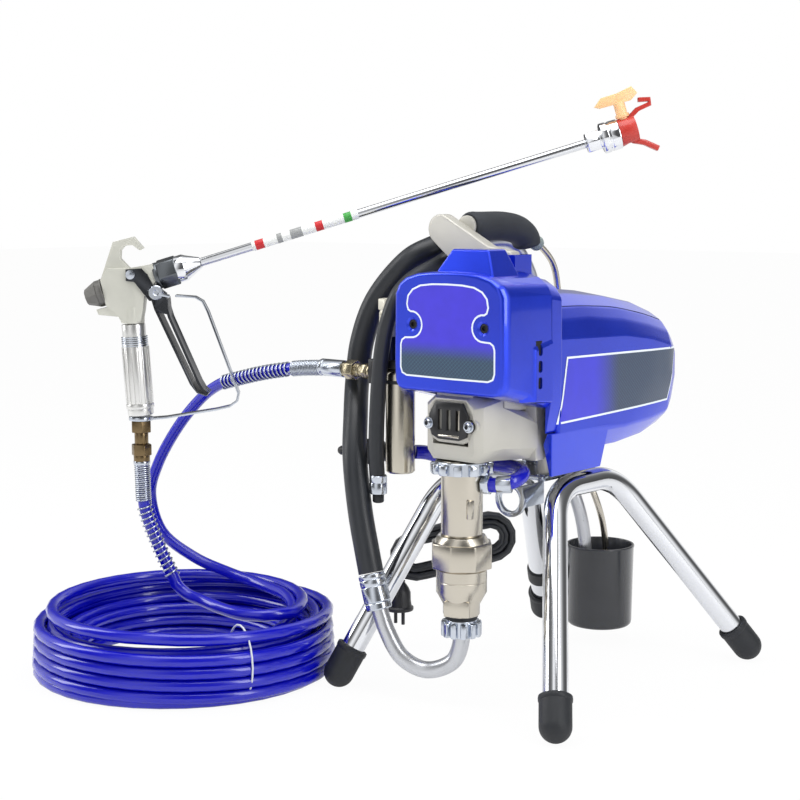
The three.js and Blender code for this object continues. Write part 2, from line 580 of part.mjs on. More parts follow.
make('suction_pipe_upper', pipe(smooth(UPPER_PIPE), 8, 8, 34), ALU, machine);
const DRAIN = [[-108, -127, 226], [-111, -127, 270], [-107, -127, 349], [-100, -127, 396], [-91, -125, 428],
  [-88, -116, 446], [-89, -100, 457], [-91, -80, 465], [-90, -50, 475], [-88, -26, 485], [-87, 0, 500],
    [-86, 40, 512],
  [-86, 90, 511], [-86, 129, 500]];
make('drain_hose', pipe(smooth(DRAIN), DRAIN_R, 8, 34), RUBBER, machine);
const DRAIN_TUBE = [[-86, 129 + 3 * GAP, 499.6], [-86.5, 146, 493], [-88, 176, 470], [-90, 190, 436],
  [-91, 196, 340],
  [-76, 199, 244], [-44, 208, 184], [-39, 224, 135], [-38, 230, 60]];
make('drain_tube', pipe(smooth(DRAIN_TUBE), 4, 6, 36), STEEL, machine);
make('drip_cup', turned([
  [0, CUP_BOTTOM], [CUP_R - 6, CUP_BOTTOM], [CUP_R - 2, CUP_BOTTOM + 4], [CUP_R, CUP_BOTTOM + CUP_H],
  [CUP_R - CUP_WALL, CUP_BOTTOM + CUP_H], [CUP_R - CUP_WALL - 2, CUP_BOTTOM + CUP_WALL + 3],
  [CUP_R - CUP_WALL - 4, CUP_BOTTOM + CUP_WALL], [0, CUP_BOTTOM + CUP_WALL]], 20)
  .translate(...CUP_XY, 0), BLACK, machine);

// ---- gun, in its own frame: x along the pole's heading, origin at the bottom of the handle ----
const gun = new THREE.Group();
gun.position.set(...GUN_AT);
gun.rotation.z = rad(GUN_YAW);
machine.add(gun);

function gunBody() {
  const t = BODY_T / 2;
  const hook = plate([[-41.7, 158.3], [-27.4, 200], [-4.2, 206], [7.1, 192.9], [3, 190.5], [-4.8, 196.4],
    [-14.3, 195.8], [-19, 190.5], [-19.6, 181], [-9.5, 170.2], [-13.1, 156]], -7, 7);
  const block1 = plate([[-41.7, 157.1], [-33.3, 170.2], [-8.3, 170.2], [17.9, 175], [23.8, 158.3],
    [8.3, 138.1],
    [6, 120.2], [3.6, 109.5], [-19, 109.5], [-22.6, 116.7], [-35.7, 127.4]], -t, t);
  const spur = plate([[-33.3, 126.2], [-20.2, 129.8], [-20.2, 114.3], [-45.2, 116.7], [-47.6, 122.6]],
    -8, 8);
  const neck = rod('z', 107, 125, 13.5, [-7.1, 0], 20);
  return join(block1, hook, spur, neck);
}
make('gun_body', gunBody(), CAST, gun);

const handle = new THREE.Group();
handle.rotation.y = rad(GRIP_LEAN);
gun.add(handle);
function gunHandle() {
  const body = join(rod('z', 0, HANDLE_H, HANDLE_R, [0, 0], 20),
    rod('z', HANDLE_H - 1, HANDLE_H + 14, 13.6, [0, 0], 16));
    return body;
}
make('gun_handle', gunHandle(), ALU, handle);

const barrel = new THREE.Group();
barrel.position.set(BARREL_AT[0], 0, BARREL_AT[1]);
barrel.rotation.y = -rad(BARREL_TILT);
gun.add(barrel);
make('gun_rear_cap', join(rod('x', -10, -4.2, 15.5, [0, 0], 8), rod('x', -24, -9.9, 9, [0, 0], 8, 15.5)),
  DARK_CAST, barrel);
make('pole_nut', join(rod('x', 63.4, 86, 18, [0, 0], 6), rod('x', 85, 97, 15, [0, 0], 20),
  rod('x', 96, 114, 15, [0, 0], 20, POLE_R + 1)), ZINC, barrel);
make('pole', rod('x', 114 + GAP, POLE_END, POLE_R, [0, 0], 16), CHROME, barrel);
make('tip_nut', join(rod('x', POLE_END + GAP, 590, 12.5, [0, 0], 6), rod('x', 589, 593, 11, [0, 0], 16),
  rod('x', 592, 613, 17.5, [0, 0], 12)), CHROME, barrel);

function tipGuard() {
  const ring = rod('x', 613 + GAP, 633, 15.5, [0, 0], 20);
  const up = ribbon([[626, 12], [640, 20], [655, 22], [656, 27], [644, 30]], 5, -5, 5);
  const low = ribbon([[626, -12], [638, -18], [651, -29]], 6, -6, 6);
  return cut(join(ring, up, low), rod('z', -20, 20, 6.5 + GAP, [TIP_S, 0], 16),
    rod('z', 15.4, 21, 8 + 2 * GAP, [TIP_S, 0], 16),
    rod('x', TIP_S, 640, 5, [0, 0], 12));
}
make('tip_guard', tipGuard(), RED, barrel);
make('spray_tip', join(rod('z', -13, 34, 6.5, [TIP_S, 0], 16), rod('z', 16, 20, 8, [TIP_S, 0], 16),
  plate([[594, 36], [600, 33], [636, 32], [645, 38], [640, 47], [622, 44], [604, 44]], -4, 4)),
    PEACH, barrel);

const PIVOT = [-6.5, 163.1];
function trigger() {
  const ear = (y0, y1) => plate([[-11.9, 169], [6, 170.2], [13.1, 163.1], [20.2, 148.8], [31, 140.5],
    [27.4, 133.3],
    [14.3, 133.3], [2.4, 148.8], [-2.4, 154.8], [-11.9, 156]], y0, y1);
  const t = BODY_T / 2 + 0.8;
  const back = ribbon([[17.9, 135.7], [21.4, 123.8], [60.7, 38.1], [67.9, 28.6], [78.6, 25]],
    3, -t - 2.5, t + 2.5);
  const front = ribbon([[33.3, 134.5], [33.9, 125], [36.9, 114.3], [69, 39.3], [73.8, 31], [79.8, 26.2]],
    3, -t - 2.5, t + 2.5);
  const web = plate([[16.7, 136.9], [34.5, 136.9], [34.5, 117.9], [25, 120.2]], -t - 2.5, t + 2.5);
  return join(web, ear(-t - 2.5, -t), ear(t, t + 2.5), back, front);
}
make('trigger', trigger(), DARK_CAST, gun);
const LOCK = [22.6, 142.9];
const LOCK_Y = -(BODY_T / 2 + 0.8 + 2.5 + GAP);
make('trigger_lock', join(rod('y', LOCK_Y - 3.5, LOCK_Y, 8.3, [LOCK[0], LOCK[1]], 20),
  ribbon([[25, 141.7], [38.1, 138.7]], 4, LOCK_Y - 3.5, LOCK_Y)), ZINC, gun);

function triggerGuard() {
  const strip = ribbon([[42.9, 138.5], [65.5, 136.9], [73.8, 132.1], [79.8, 120.2], [108.3, 41.7],
    [113.7, 26.2],
    [111.9, 16.7], [103.6, 10.7], [88.1, 7.1], [29.8, -2.4], [6, -4.3]], 2.4, -7, 7);
  const tab = rod('z', -6, -GAP - 1.5, 14, [0, 0], 18);
  return join(strip, tab);
}
make('trigger_guard', triggerGuard(), ZINC, gun);

make('gun_swivel', join(rod('z', -20, -6 - GAP, 12.5, [0, 0], 6), rod('z', -34, -19, 8, [0, 0], 16),
  rod('z', -54, -33, 12, [0, 0], 6)).rotateY(0), BRASS, gun);

// ---- pressure hose coil and its two runs ----
make('hose_coil', turned([
  [COIL_BORE_R, 8], [COIL_BORE_R + 8, 0.5], [COIL_R - 10, 0.5], [COIL_R, 10], [COIL_R - 4, COIL_H - 12],
  [COIL_R - 20, COIL_H], [COIL_BORE_R + 14, COIL_H], [COIL_BORE_R, COIL_H - 16], [COIL_BORE_R, 8]], 28)
  .translate(...COIL_XY, 0), HOSE_BLUE, machine);
const MACHINE_GUARD = [[-176 - 2 * GAP, OUTLET_Y, OUTLET_Z], [-212, OUTLET_Y, 356], [-250, -108, 353],
  [-300, -110, 345],
  [-352, -110, 333], [-378, -108, 326]];
const MACHINE_RUN = [[-379.8, -107.9, 325.4], [-412, -105, 309], [-456, -108, 268], [-492, -114, 214],
  [-504, -116, 176],
  [-488, -112, 128], [-446, -96, 98], [-400, -84, 84], [-352, -80, COIL_H + HOSE_R + 2 * GAP]];
make('spring_guard_machine', pipe(smooth(MACHINE_GUARD), HOSE_R + 2, 8, 12), ZINC, machine);
make('hose_run_machine', pipe(smooth(MACHINE_RUN), HOSE_R, 8, 24), HOSE_BLUE, machine);
const GUN_GUARD = [[-376, -238.6, 246], [-375.5, -238.2, 225], [-374, -237, 190], [-362, -227, 145],
  [-350, -217, 110]];
const GUN_RUN = [[-349.75, -216.8, 109.3], [-346.2, -213.9, 99], [-334, -209, 89], [-312, -205, 84],
  [-270, -206, 79],
  [-215, -212, COIL_H + HOSE_R + 2 * GAP]];
make('spring_guard_gun', pipe(smooth(GUN_GUARD), HOSE_R + 2, 10, 12), ZINC, machine);
make('hose_run_gun', pipe(smooth(GUN_RUN), HOSE_R, 10, 10), HOSE_BLUE, machine);

// ---- mains lead ----
const LEAD_R = 3.3;
make('strain_relief', rod('x', -96, -64 - GAP, 4.2, [30, 270], 12, 7), RUBBER, machine);
const HANK_AT = [-158, 69, 126];
const HANK_L = 160;
const HANK_W = 64;
const HANK_T = 22;
function hank() {
  const s = new THREE.Shape();
  const a = HANK_L / 2 - HANK_W / 2;
  s.moveTo(-a, -HANK_W / 2);
  s.lineTo(a, -HANK_W / 2);
  s.absarc(a, 0, HANK_W / 2, -Math.PI / 2, Math.PI / 2, false);
  s.lineTo(-a, HANK_W / 2);
  s.absarc(-a, 0, HANK_W / 2, Math.PI / 2, Math.PI * 1.5, false);
  return new THREE.ExtrudeGeometry(s, { depth: HANK_T, bevelEnabled: false, curveSegments: 6 })
    .translate(0, 0, -HANK_T / 2).rotateX(Math.PI / 2).rotateY(-rad(14));
}
const hankMesh = make('power_hank', hank(), RUBBER, machine);
hankMesh.position.set(...HANK_AT);
hankMesh.rotation.z = rad(GUN_YAW);
make('power_lead', pipe(smooth([[-96 - 4 * GAP, 30, 270], [-116, 32, 264], [-136, 44, 240], [-145, 66, 205],
  [-144, 81, 165.2]]), LEAD_R, 8, 16), RUBBER, machine);
make('power_plug', turned([[0, 28], [12, 28], [14.5, 34], [14.5, 52], [7, 66], [4.5, 66], [0, 66]], 20)
  .translate(-206, 24, 18.3), BLACK, machine);

// ---- origin: middle of the footprint of everything but the cords ----
const CORDS = ['hose_coil', 'hose_run_machine', 'hose_run_gun', 'spring_guard_machine', 'spring_guard_gun',
  'power_lead', 'power_hank', 'power_plug'];
machine.updateMatrixWorld(true);
const bounds = new THREE.Box3();
machine.traverse((o) => {
  if (o.isMesh && !CORDS.includes(o.name)) bounds.expandByObject(o, true);
});
const centre = bounds.getCenter(V(0, 0, 0));
machine.position.set(-centre.x, -centre.y, -bounds.min.z);

const sprayer = new THREE.Group();
sprayer.add(machine);
sprayer.updateMatrixWorld(true);

export default sprayer;
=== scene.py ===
import math
import bmesh
import bpy
from mathutils import Matrix, Vector
from mathutils.bvhtree import BVHTree


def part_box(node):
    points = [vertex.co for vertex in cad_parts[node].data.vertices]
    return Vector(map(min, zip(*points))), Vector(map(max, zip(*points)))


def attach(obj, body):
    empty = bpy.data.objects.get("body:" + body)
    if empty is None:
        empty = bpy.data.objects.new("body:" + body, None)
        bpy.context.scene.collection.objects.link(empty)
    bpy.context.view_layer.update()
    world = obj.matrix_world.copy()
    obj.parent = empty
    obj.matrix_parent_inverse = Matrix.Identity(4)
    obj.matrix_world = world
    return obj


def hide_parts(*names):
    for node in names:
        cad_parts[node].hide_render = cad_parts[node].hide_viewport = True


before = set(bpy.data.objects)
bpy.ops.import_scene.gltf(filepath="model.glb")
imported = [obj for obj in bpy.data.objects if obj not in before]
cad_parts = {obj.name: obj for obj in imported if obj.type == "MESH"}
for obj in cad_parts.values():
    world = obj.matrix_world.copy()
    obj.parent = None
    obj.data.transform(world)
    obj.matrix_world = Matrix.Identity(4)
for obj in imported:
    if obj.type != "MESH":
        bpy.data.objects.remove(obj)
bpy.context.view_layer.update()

# ---- Camera ----
# The machine is laid out in millimetres from the pump's own axis, and SHIFT carries that
# to the frame. The lens is a long portrait lens at the height of the gun.
pump_low, pump_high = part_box("pump_cylinder")
SHIFT = Vector(((pump_low[0] + pump_high[0]) / 2, (pump_low[1] + pump_high[1]) / 2 + 0.114,
                pump_low[2] - 0.1903))
PLACE = Matrix.Translation(SHIFT) @ Matrix.Scale(0.001, 4)


def at(x, y, z):
    return PLACE @ Vector((x, y, z))


lens = bpy.data.cameras.new("camera")
lens.lens = 72.93
lens.sensor_width = 36
camera = bpy.data.objects.new("camera", lens)
bpy.context.scene.collection.objects.link(camera)
camera.location = at(1061.8, -1462.5, 548.3)
camera.rotation_euler = (at(-184.53, 0, 310.79) - camera.location).to_track_quat("-Z", "Y").to_euler()
bpy.context.scene.camera = camera
bpy.context.scene.view_settings.view_transform = "Standard"


# ---- Shader wiring ----
# Every finish below is wired with this one class. It wraps a socket, adds a Math node for
# each arithmetic operator, and any other node through its node() method.
class Wire:
    def __init__(self, tree, socket):
        self.tree = tree
        self.socket = socket

    def node(self, kind, settings=None, out=0, **inputs):
        made = self.tree.nodes.new("ShaderNode" + kind)
        for key, value in (settings or {}).items():
            if key == "stops":
                ramp = made.color_ramp
                while len(ramp.elements) < len(value):
                    ramp.elements.new(0.5)
                for element, (place, colour) in zip(ramp.elements, value):
                    element.position = place
                    element.color = (*colour, 1)
            else:
                setattr(made, key, value)
        for key, value in inputs.items():
            numbered = key.startswith("in") and key[2:].isdigit()
            socket = made.inputs[int(key[2:]) if numbered else key.replace("_", " ")]
            if isinstance(value, Wire):
                self.tree.links.new(value.socket, socket)
            else:
                socket.default_value = value
        return Wire(self.tree, made.outputs[out])

    def sum(self, operation, a, b):
        return self.node("Math", {"operation": operation}, in0=a, in1=b)

    def __add__(self, other):
        return self.sum("ADD", self, other)

    def __radd__(self, other):
        return self.sum("ADD", other, self)

    def __sub__(self, other):
        return self.sum("SUBTRACT", self, other)

    def __rsub__(self, other):
        return self.sum("SUBTRACT", other, self)

    def __mul__(self, other):
        return self.sum("MULTIPLY", self, other)

    def __rmul__(self, other):
        return self.sum("MULTIPLY", other, self)

    def __lt__(self, other):
        return self.sum("LESS_THAN", self, other)

    def noise(self, scale, detail=3.0, rough=0.5):
        return self.node("TexNoise", Vector=self, Scale=scale, Detail=detail, Roughness=rough)

    def blend(self, a, b):
        return self.node("Mix", {"data_type": "RGBA"}, out=2, in0=self, in6=a, in7=b)

    def stretched(self, scale):
        return self.node("Mapping", Vector=self, Scale=scale)


def paint(r, g, b):
    return tuple((c / 255 / 12.92) if c / 255 < 0.04045 else ((c / 255 + 0.055) / 1.055) ** 2.4
                 for c in (r, g, b))


def rgba(colour, gain=1.0):
    return (*[min(c * gain, 1.0) for c in colour], 1)


def new_finish(name, **fixed):
    """A material with its shader's constants set; gives the material, its shader and the place on the piece."""
    made = bpy.data.materials.new(name)
    made.use_nodes = True
    tree = made.node_tree
    shader = tree.nodes["Principled BSDF"]
    for key, value in fixed.items():
        shader.inputs[key.replace("_", " ")].default_value = value
    place = Wire(tree, tree.nodes.new("ShaderNodeTexCoord").outputs["Object"])
    return made, shader, place


def feed(shader, **wires):
    for key, wire in wires.items():
        wire.tree.links.new(wire.socket, shader.inputs[key.replace("_", " ")])


def grained(name, colour, rough, metal=0.0, coarse=90, fine=900, bump=0.15, spread=0.12, streak=None,
            **fixed):
    """A finish with slow and fine variation of colour, roughness and surface."""
    made, shader, place = new_finish(name, Metallic=metal, **fixed)
    slow = place.noise(coarse, 4)
    quick = (place.stretched(streak) if streak else place).noise(fine, 2)
    feed(shader, Base_Color=slow.blend(rgba(colour, 1 - spread), rgba(colour, 1 + spread)))
    feed(shader, Roughness=slow * (rough * 0.35) + quick * (rough * 0.3) + rough * 0.68)
    feed(shader, Normal=place.node("Bump", Height=quick, Strength=bump, Distance=0.0002))
    return made


# ---- Floor, lamps and surroundings ----
# A plain pale floor that runs into a white surrounding. Broad soft lamps stand above and
# to both sides, and the mirror-bright metal sees two soft grey bands in the surrounding.
bm = bmesh.new()
bmesh.ops.create_grid(bm, x_segments=2, y_segments=2, size=14)
floor_mesh = bpy.data.meshes.new("floor")
bm.to_mesh(floor_mesh)
bm.free()
floor = bpy.data.objects.new("floor", floor_mesh)
bpy.context.scene.collection.objects.link(floor)
floor.location.z = -0.0005
floor_finish = bpy.data.materials.new("floor")
floor_finish.use_nodes = True
tree = floor_finish.node_tree
ray = tree.nodes.new("ShaderNodeLightPath")
seen = Wire(tree, ray.outputs["Is Camera Ray"]) + Wire(tree, ray.outputs["Is Transmission Ray"])
mirror = Wire(tree, ray.outputs["Is Glossy Ray"])
shader = tree.nodes["Principled BSDF"]
shader.inputs["Base Color"].default_value = (0.95, 0.95, 0.95, 1)
shader.inputs["Roughness"].default_value = 0.6
glow = seen.node("Emission", Color=(1, 1, 1, 1), Strength=1.0)
share = seen * 0.96 + mirror * 0.45
mixed = share.node("MixShader", Fac=share, in1=Wire(tree, shader.outputs[0]), in2=glow)
tree.links.new(mixed.socket, tree.nodes["Material Output"].inputs["Surface"])
floor.data.materials.append(floor_finish)

world = bpy.data.worlds.new("studio")
bpy.context.scene.world = world
world.use_nodes = True
tree = world.node_tree
ray = tree.nodes.new("ShaderNodeLightPath")
seen = Wire(tree, ray.outputs["Is Camera Ray"]) + Wire(tree, ray.outputs["Is Transmission Ray"])
mirror = Wire(tree, ray.outputs["Is Glossy Ray"])
look = Wire(tree, tree.nodes.new("ShaderNodeTexCoord").outputs["Generated"])
split = tree.nodes.new("ShaderNodeSeparateXYZ")
tree.links.new(look.socket, split.inputs[0])
east, north, up = [Wire(tree, socket) for socket in split.outputs]
heading = east.node("Math", {"operation": "ARCTAN2"}, in0=north, in1=east)
bands = heading.node("Math", {"operation": "SINE"}, in0=heading * 4.0 + 0.9) * 0.5 + 0.5
bands = bands.node("Math", {"operation": "POWER"}, in0=bands, in1=1.6)
gloss = bands * 0.95 + 0.08 + up * 0.12
background = tree.nodes["Background"]
background.inputs["Color"].default_value = (1, 1, 1, 1)
level = (seen * 1.0) + (mirror * gloss) + ((1 - seen) * (1 - mirror) * 0.62)
tree.links.new(level.socket, background.inputs["Strength"])


def lamp(name, place, aim, wide, tall, watts):
    made = bpy.data.lights.new(name, "AREA")
    made.shape = "RECTANGLE"
    made.size = wide
    made.size_y = tall
    made.energy = watts
    thing = bpy.data.objects.new(name, made)
    bpy.context.scene.collection.objects.link(thing)
    thing.location = place
    thing.rotation_euler = (Vector(aim) - Vector(place)).to_track_quat("-Z", "Y").to_euler()


lamp("lamp_top", (0.1, -0.3, 2.2), (0, 0, 0.25), 1.6, 1.6, 26)
lamp("lamp_left", (-1.7, -1.2, 1.3), (0, 0, 0.3), 0.6, 1.8, 20)
lamp("lamp_right", (1.9, -0.2, 1.2), (0, 0, 0.3), 0.5, 1.8, 16)


# ---- Shaping helpers used by every piece from here on ----
# Pieces are shaped in the machine's millimetres and put in place once, at the end, by made().
def turned(profile, sides=64, along=(0, 0, 1), foot=(0, 0, 0)):
    """A turned piece: (radius, height) pairs spun about an axis."""
    bm = bmesh.new()
    verts = [bm.verts.new((r, 0, z)) for r, z in profile]
    edges = [bm.edges.new(pair) for pair in zip(verts, verts[1:])]
    bmesh.ops.spin(bm, geom=verts + edges, cent=(0, 0, 0), axis=(0, 0, 1), angle=math.tau, steps=sides,
                   use_merge=True)
    bmesh.ops.remove_doubles(bm, verts=bm.verts, dist=0.0005)
    return laid(bm, along, foot)


def laid(bm, along=(0, 0, 1), foot=(0, 0, 0), spin=0.0):
    """Turns a shape's own Z to point along a direction, and moves it to its place."""
    turn = Vector((0, 0, 1)).rotation_difference(Vector(along).normalized()).to_matrix().to_4x4()
    own = Matrix.Rotation(math.radians(spin), 4, "Z")
    bmesh.ops.transform(bm, matrix=Matrix.Translation(Vector(foot)) @ turn @ own, verts=bm.verts)
    return bm


def rod(radius, low, high, along=(0, 0, 1), foot=(0, 0, 0), sides=48, edge=0.5, top=None):
    top = radius if top is None else top
    e = min(edge, radius * 0.4, (high - low) * 0.3)
    return turned([(0, low), (radius - e, low), (radius - e * 0.3, low + e * 0.3), (radius, low + e),
                   (top, high - e),
                   (top - e * 0.3, high - e * 0.3), (top - e, high), (0, high)], sides, along, foot)


def nut(radius, low, high, along=(0, 0, 1), foot=(0, 0, 0), sides=6, edge=0.7, spin=0.0):
    """A nut or bar with flats, chamfered on its corners."""
    bm = bmesh.new()
    bmesh.ops.create_cone(bm, cap_ends=True, segments=sides, radius1=radius, radius2=radius, depth=high - low)
    bmesh.ops.translate(bm, verts=bm.verts, vec=(0, 0, (low + high) / 2))
    soften(bm, edge)
    return laid(bm, along, foot, spin)


def soften(bm, width, angle=25, segments=2):
    edges = [e for e in bm.edges if e.is_manifold and e.calc_face_angle(0) > math.radians(angle)]
    bmesh.ops.bevel(bm, geom=edges, offset=width, segments=segments, profile=0.5, affect="EDGES", material=-1,
                    clamp_overlap=True)
    return bm


def box(x0, x1, y0, y1, z0, z1, edge=0.6):
    bm = bmesh.new()
    bmesh.ops.create_cube(bm, size=1)
    bmesh.ops.scale(bm, vec=(x1 - x0, y1 - y0, z1 - z0), verts=bm.verts)
    bmesh.ops.translate(bm, vec=((x0 + x1) / 2, (y0 + y1) / 2, (z0 + z1) / 2), verts=bm.verts)
    return soften(bm, edge) if edge else bm


def plate(outline, y0, y1, edge=0.6, segments=2):
    """A plate cut to an outline in x and z, with softened edges."""
    bm = bmesh.new()
    face = bm.faces.new([bm.verts.new((x, y0, z)) for x, z in outline])
    pulled = bmesh.ops.extrude_face_region(bm, geom=[face])
    bmesh.ops.translate(bm, vec=(0, y1 - y0, 0),
                        verts=[v for v in pulled["geom"] if isinstance(v, bmesh.types.BMVert)])
    bmesh.ops.recalc_face_normals(bm, faces=bm.faces)
    return soften(bm, edge, 35, segments) if edge else bm


def ribbon(line, thick, y0, y1, edge=0.5):
    """A flat strip that follows a line in x and z."""
    left, right = [], []
    for i, (x, z) in enumerate(line):
        a, b = Vector(line[max(i - 1, 0)]), Vector(line[min(i + 1, len(line) - 1)])
        d = (b - a).normalized() * thick / 2
        left.append((x - d.y, z + d.x))
        right.insert(0, (x + d.y, z - d.x))
    return plate(left + right, y0, y1, edge)


def ringed(count, shape, turn=0.0):
    """Copies of a shape set evenly round the upright axis; shape() makes one of them."""
    out = [shape() for _ in range(count)]
    for i, one in enumerate(out):
        bmesh.ops.rotate(one, verts=one.verts, cent=(0, 0, 0),
                         matrix=Matrix.Rotation(math.tau * (i + turn) / count, 3, "Z"))
    return out


def copied(node, merge=0.05, flat=3):
    """The CAD node's own shape back in the machine's millimetres, its loose triangles merged."""
    bm = bmesh.new()
    bm.from_mesh(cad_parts[node].data)
    bmesh.ops.transform(bm, matrix=PLACE.inverted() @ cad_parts[node].matrix_world, verts=bm.verts)
    bmesh.ops.remove_doubles(bm, verts=bm.verts, dist=merge)
    bmesh.ops.dissolve_limit(bm, angle_limit=math.radians(flat), verts=bm.verts, edges=bm.edges,
                             use_dissolve_boundaries=False)
    return bm


def gathered(*shapes):
    """Several shapes in one piece."""
    whole = bmesh.new()
    for bm in shapes:
        part = bpy.data.meshes.new("part")
        bm.to_mesh(part)
        bm.free()
        whole.from_mesh(part)
        bpy.data.meshes.remove(part)
    return whole


def made(name, bm, finish, slot, body="machine", stands_for=(), shift=None, smooth=32):
    """Puts a shape in its place, rides it on its body and gives it its finish."""
    if shift is not None:
        bmesh.ops.transform(bm, matrix=shift, verts=bm.verts)
    bmesh.ops.recalc_face_normals(bm, faces=bm.faces)
    bmesh.ops.transform(bm, matrix=PLACE, verts=bm.verts)
    for face in bm.faces:
        face.smooth = True
    mesh = bpy.data.meshes.new(name)
    bm.to_mesh(mesh)
    bm.free()
    mesh.set_sharp_from_angle(angle=math.radians(smooth))
    thing = bpy.data.objects.new(name, mesh)
    bpy.context.scene.collection.objects.link(thing)
    for one in finish if isinstance(finish, (list, tuple)) else [finish]:
        mesh.materials.append(one)
    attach(thing, body)
    if stands_for:
        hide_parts(*([stands_for] if isinstance(stands_for, str) else stands_for))
    return thing


def flow(points, steps=10):
    """A smooth line through given points."""
    pts = [Vector(p) for p in points]
    pts = [pts[0] * 2 - pts[1]] + pts + [pts[-1] * 2 - pts[-2]]
    out = []
    for a, b, c, d in zip(pts, pts[1:], pts[2:], pts[3:]):
        t1 = max((b - a).length, 1e-6) ** 0.5
        t2 = t1 + max((c - b).length, 1e-6) ** 0.5
        t3 = t2 + max((d - c).length, 1e-6) ** 0.5
        for i in range(steps):
            t = t1 + (t2 - t1) * i / steps
            e = a + (b - a) * (t / t1)
            f = b + (c - b) * ((t - t1) / (t2 - t1))
            g = c + (d - c) * ((t - t2) / (t3 - t2))
            h = e + (f - e) * (t / t2)
            k = f + (g - f) * ((t - t1) / (t3 - t1))
            out.append(h + (k - h) * ((t - t1) / (t2 - t1)))
    return out + [pts[-2]]


def tube(name, line, radius, finish, body="machine", stands_for=(), shift=None, round_=6, swell=None):
    """A hose, lead or pipe of round section along a line; swell gives the section's scale at each point."""
    curve = bpy.data.curves.new(name, "CURVE")
    curve.dimensions = "3D"
    curve.bevel_depth = radius / 1000
    curve.bevel_resolution = round_
    curve.use_fill_caps = True
    spline = curve.splines.new("POLY")
    spline.points.add(len(line) - 1)
    for point, place in zip(spline.points, line):
        place = shift @ Vector(place) if shift is not None else Vector(place)
        point.co = (*(PLACE @ place), 1)
    spline.use_smooth = True
    curve.materials.append(finish)
    thing = bpy.data.objects.new(name, curve)
    bpy.context.scene.collection.objects.link(thing)
    if swell:
        for point, scale in zip(spline.points, swell):
            point.radius = scale
        bpy.context.view_layer.update()
        skin = bpy.data.meshes.new_from_object(thing.evaluated_get(bpy.context.evaluated_depsgraph_get()))
        bpy.data.objects.remove(thing)
        thing = bpy.data.objects.new(name, skin)
        bpy.context.scene.collection.objects.link(thing)
    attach(thing, body)
    if stands_for:
        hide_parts(*([stands_for] if isinstance(stands_for, str) else stands_for))
    return thing


def length_of(line):
    return sum((Vector(b) - Vector(a)).length for a, b in zip(line, line[1:])) / 1000


def coiled_wire(line, radius, pitch, slack=None):
    """The helix of a spring wound over a line, as points; pitch in millimetres of line per turn."""
    pts = [Vector(p) for p in line]
    out, turn, side = [], 0.0, None
    for a, b in zip(pts, pts[1:]):
        step = b - a
        way = step.normalized()
        side = (way.orthogonal() if side is None else side - way * side.dot(way)).normalized()
        across = way.cross(side)
        count = max(int(math.ceil(step.length / pitch * 12)), 1)
        for i in range(count):
            out.append(a + step * (i / count) + (side * math.cos(turn) + across * math.sin(turn)) * radius)
            turn += math.tau * step.length / count / pitch
    return out


# ---- Pressure hose ----
# One 14 mm blue hose with a glossy jacket. It leaves the outlet inside a coil spring, lies
# coiled on the floor and rises to the gun through a second spring.
HOSE_R = 7
hose_blue = grained("hose_jacket", paint(3, 7, 176), 0.2, coarse=40, fine=260, bump=0.04, spread=0.08,
                    Coat_Weight=0.4, Coat_Roughness=0.08, IOR=1.48)
MACHINE_GUARD = [(-176.6, -106, 357), (-212, -106, 356), (-250, -108, 353), (-300, -110, 345),
                 (-352, -110, 333),
                 (-378, -108, 326)]
MACHINE_RUN = [(-412, -105, 309), (-456, -108, 268), (-492, -114, 214), (-504, -116, 176), (-488, -112, 128),
               (-446, -96, 98), (-400, -84, 84), (-352, -80, 77)]
GUN_RUN = [(-225, -191, 78), (-250, -203, 78), (-282, -206, 80.5), (-312, -205, 84), (-334, -209, 89),
           (-346.2, -213.9, 99)]
GUN_GUARD = [(-350, -217, 110), (-362, -227, 145), (-374, -237, 190), (-375.5, -238.2, 225),
             (-376, -238.6, 246)]
COIL_X, COIL_Y = -340, -208
STEP = 13.9
START = math.radians(88)
PER_TURN = 36
LAST_TURN = math.radians(428)
RISE_IN = 27


def coil_turns():
    """(radius, height) of the hose at the start of each turn: down, out, up, out and so on."""
    columns = [(127, 3), (141, 3), (155, 4), (169, 4)]
    stations, down = [], True
    for radius, rises in columns:
        heights = [7.5 + STEP * k for k in range(rises + 1)]
        for height in (reversed(heights) if down else heights):
            stations.append((radius, height))
        down = not down
    return stations


stations = coil_turns()
coil = []
for k in range(len(stations) - 1):
    (r0, z0), (r1, z1) = stations[k], stations[k + 1]
    for i in range(PER_TURN):
        t = i / PER_TURN
        angle = START - math.tau * (k + t)
        out = math.sqrt(1 - (1 - t) ** 2) if r1 != r0 else t
        r = r0 + (r1 - r0) * out
        z = z0 + (z1 - z0) * t
        r += 1.6 * math.sin(2 * angle + z / 22) + 1.2 * math.sin(3 * angle + 1.7 + r / 30)
        z += 0.9 * (1 + math.sin(2 * angle + 0.6 + r / 40)) if z > 12 else 0.4
        joined = min(len(coil) / 15, 1)
        z += RISE_IN * (1 - joined * joined * (3 - 2 * joined))
        coil.append((COIL_X + r * math.cos(angle), COIL_Y + r * math.sin(angle), z))
final = []
for i in range(0, 43):
    t = i / 42
    angle = START - math.tau * (len(stations) - 1) - LAST_TURN * t
    ease = t * t * (3 - 2 * t)
    r = 169 - 31 * ease
    final.append((COIL_X + r * math.cos(angle), COIL_Y + r * math.sin(angle), 63 + 15 * min(t * 3, 1)))
line = flow(MACHINE_GUARD + MACHINE_RUN, 6) + coil[2:] + final + flow(GUN_RUN + GUN_GUARD, 6)
hose = tube("hose", line, HOSE_R, hose_blue, round_=5,
            stands_for=("hose_coil", "hose_run_machine", "hose_run_gun"))
spring_zinc = grained("spring_wire", paint(186, 192, 202), 0.24, 1.0, coarse=200, fine=1500, bump=0.05)
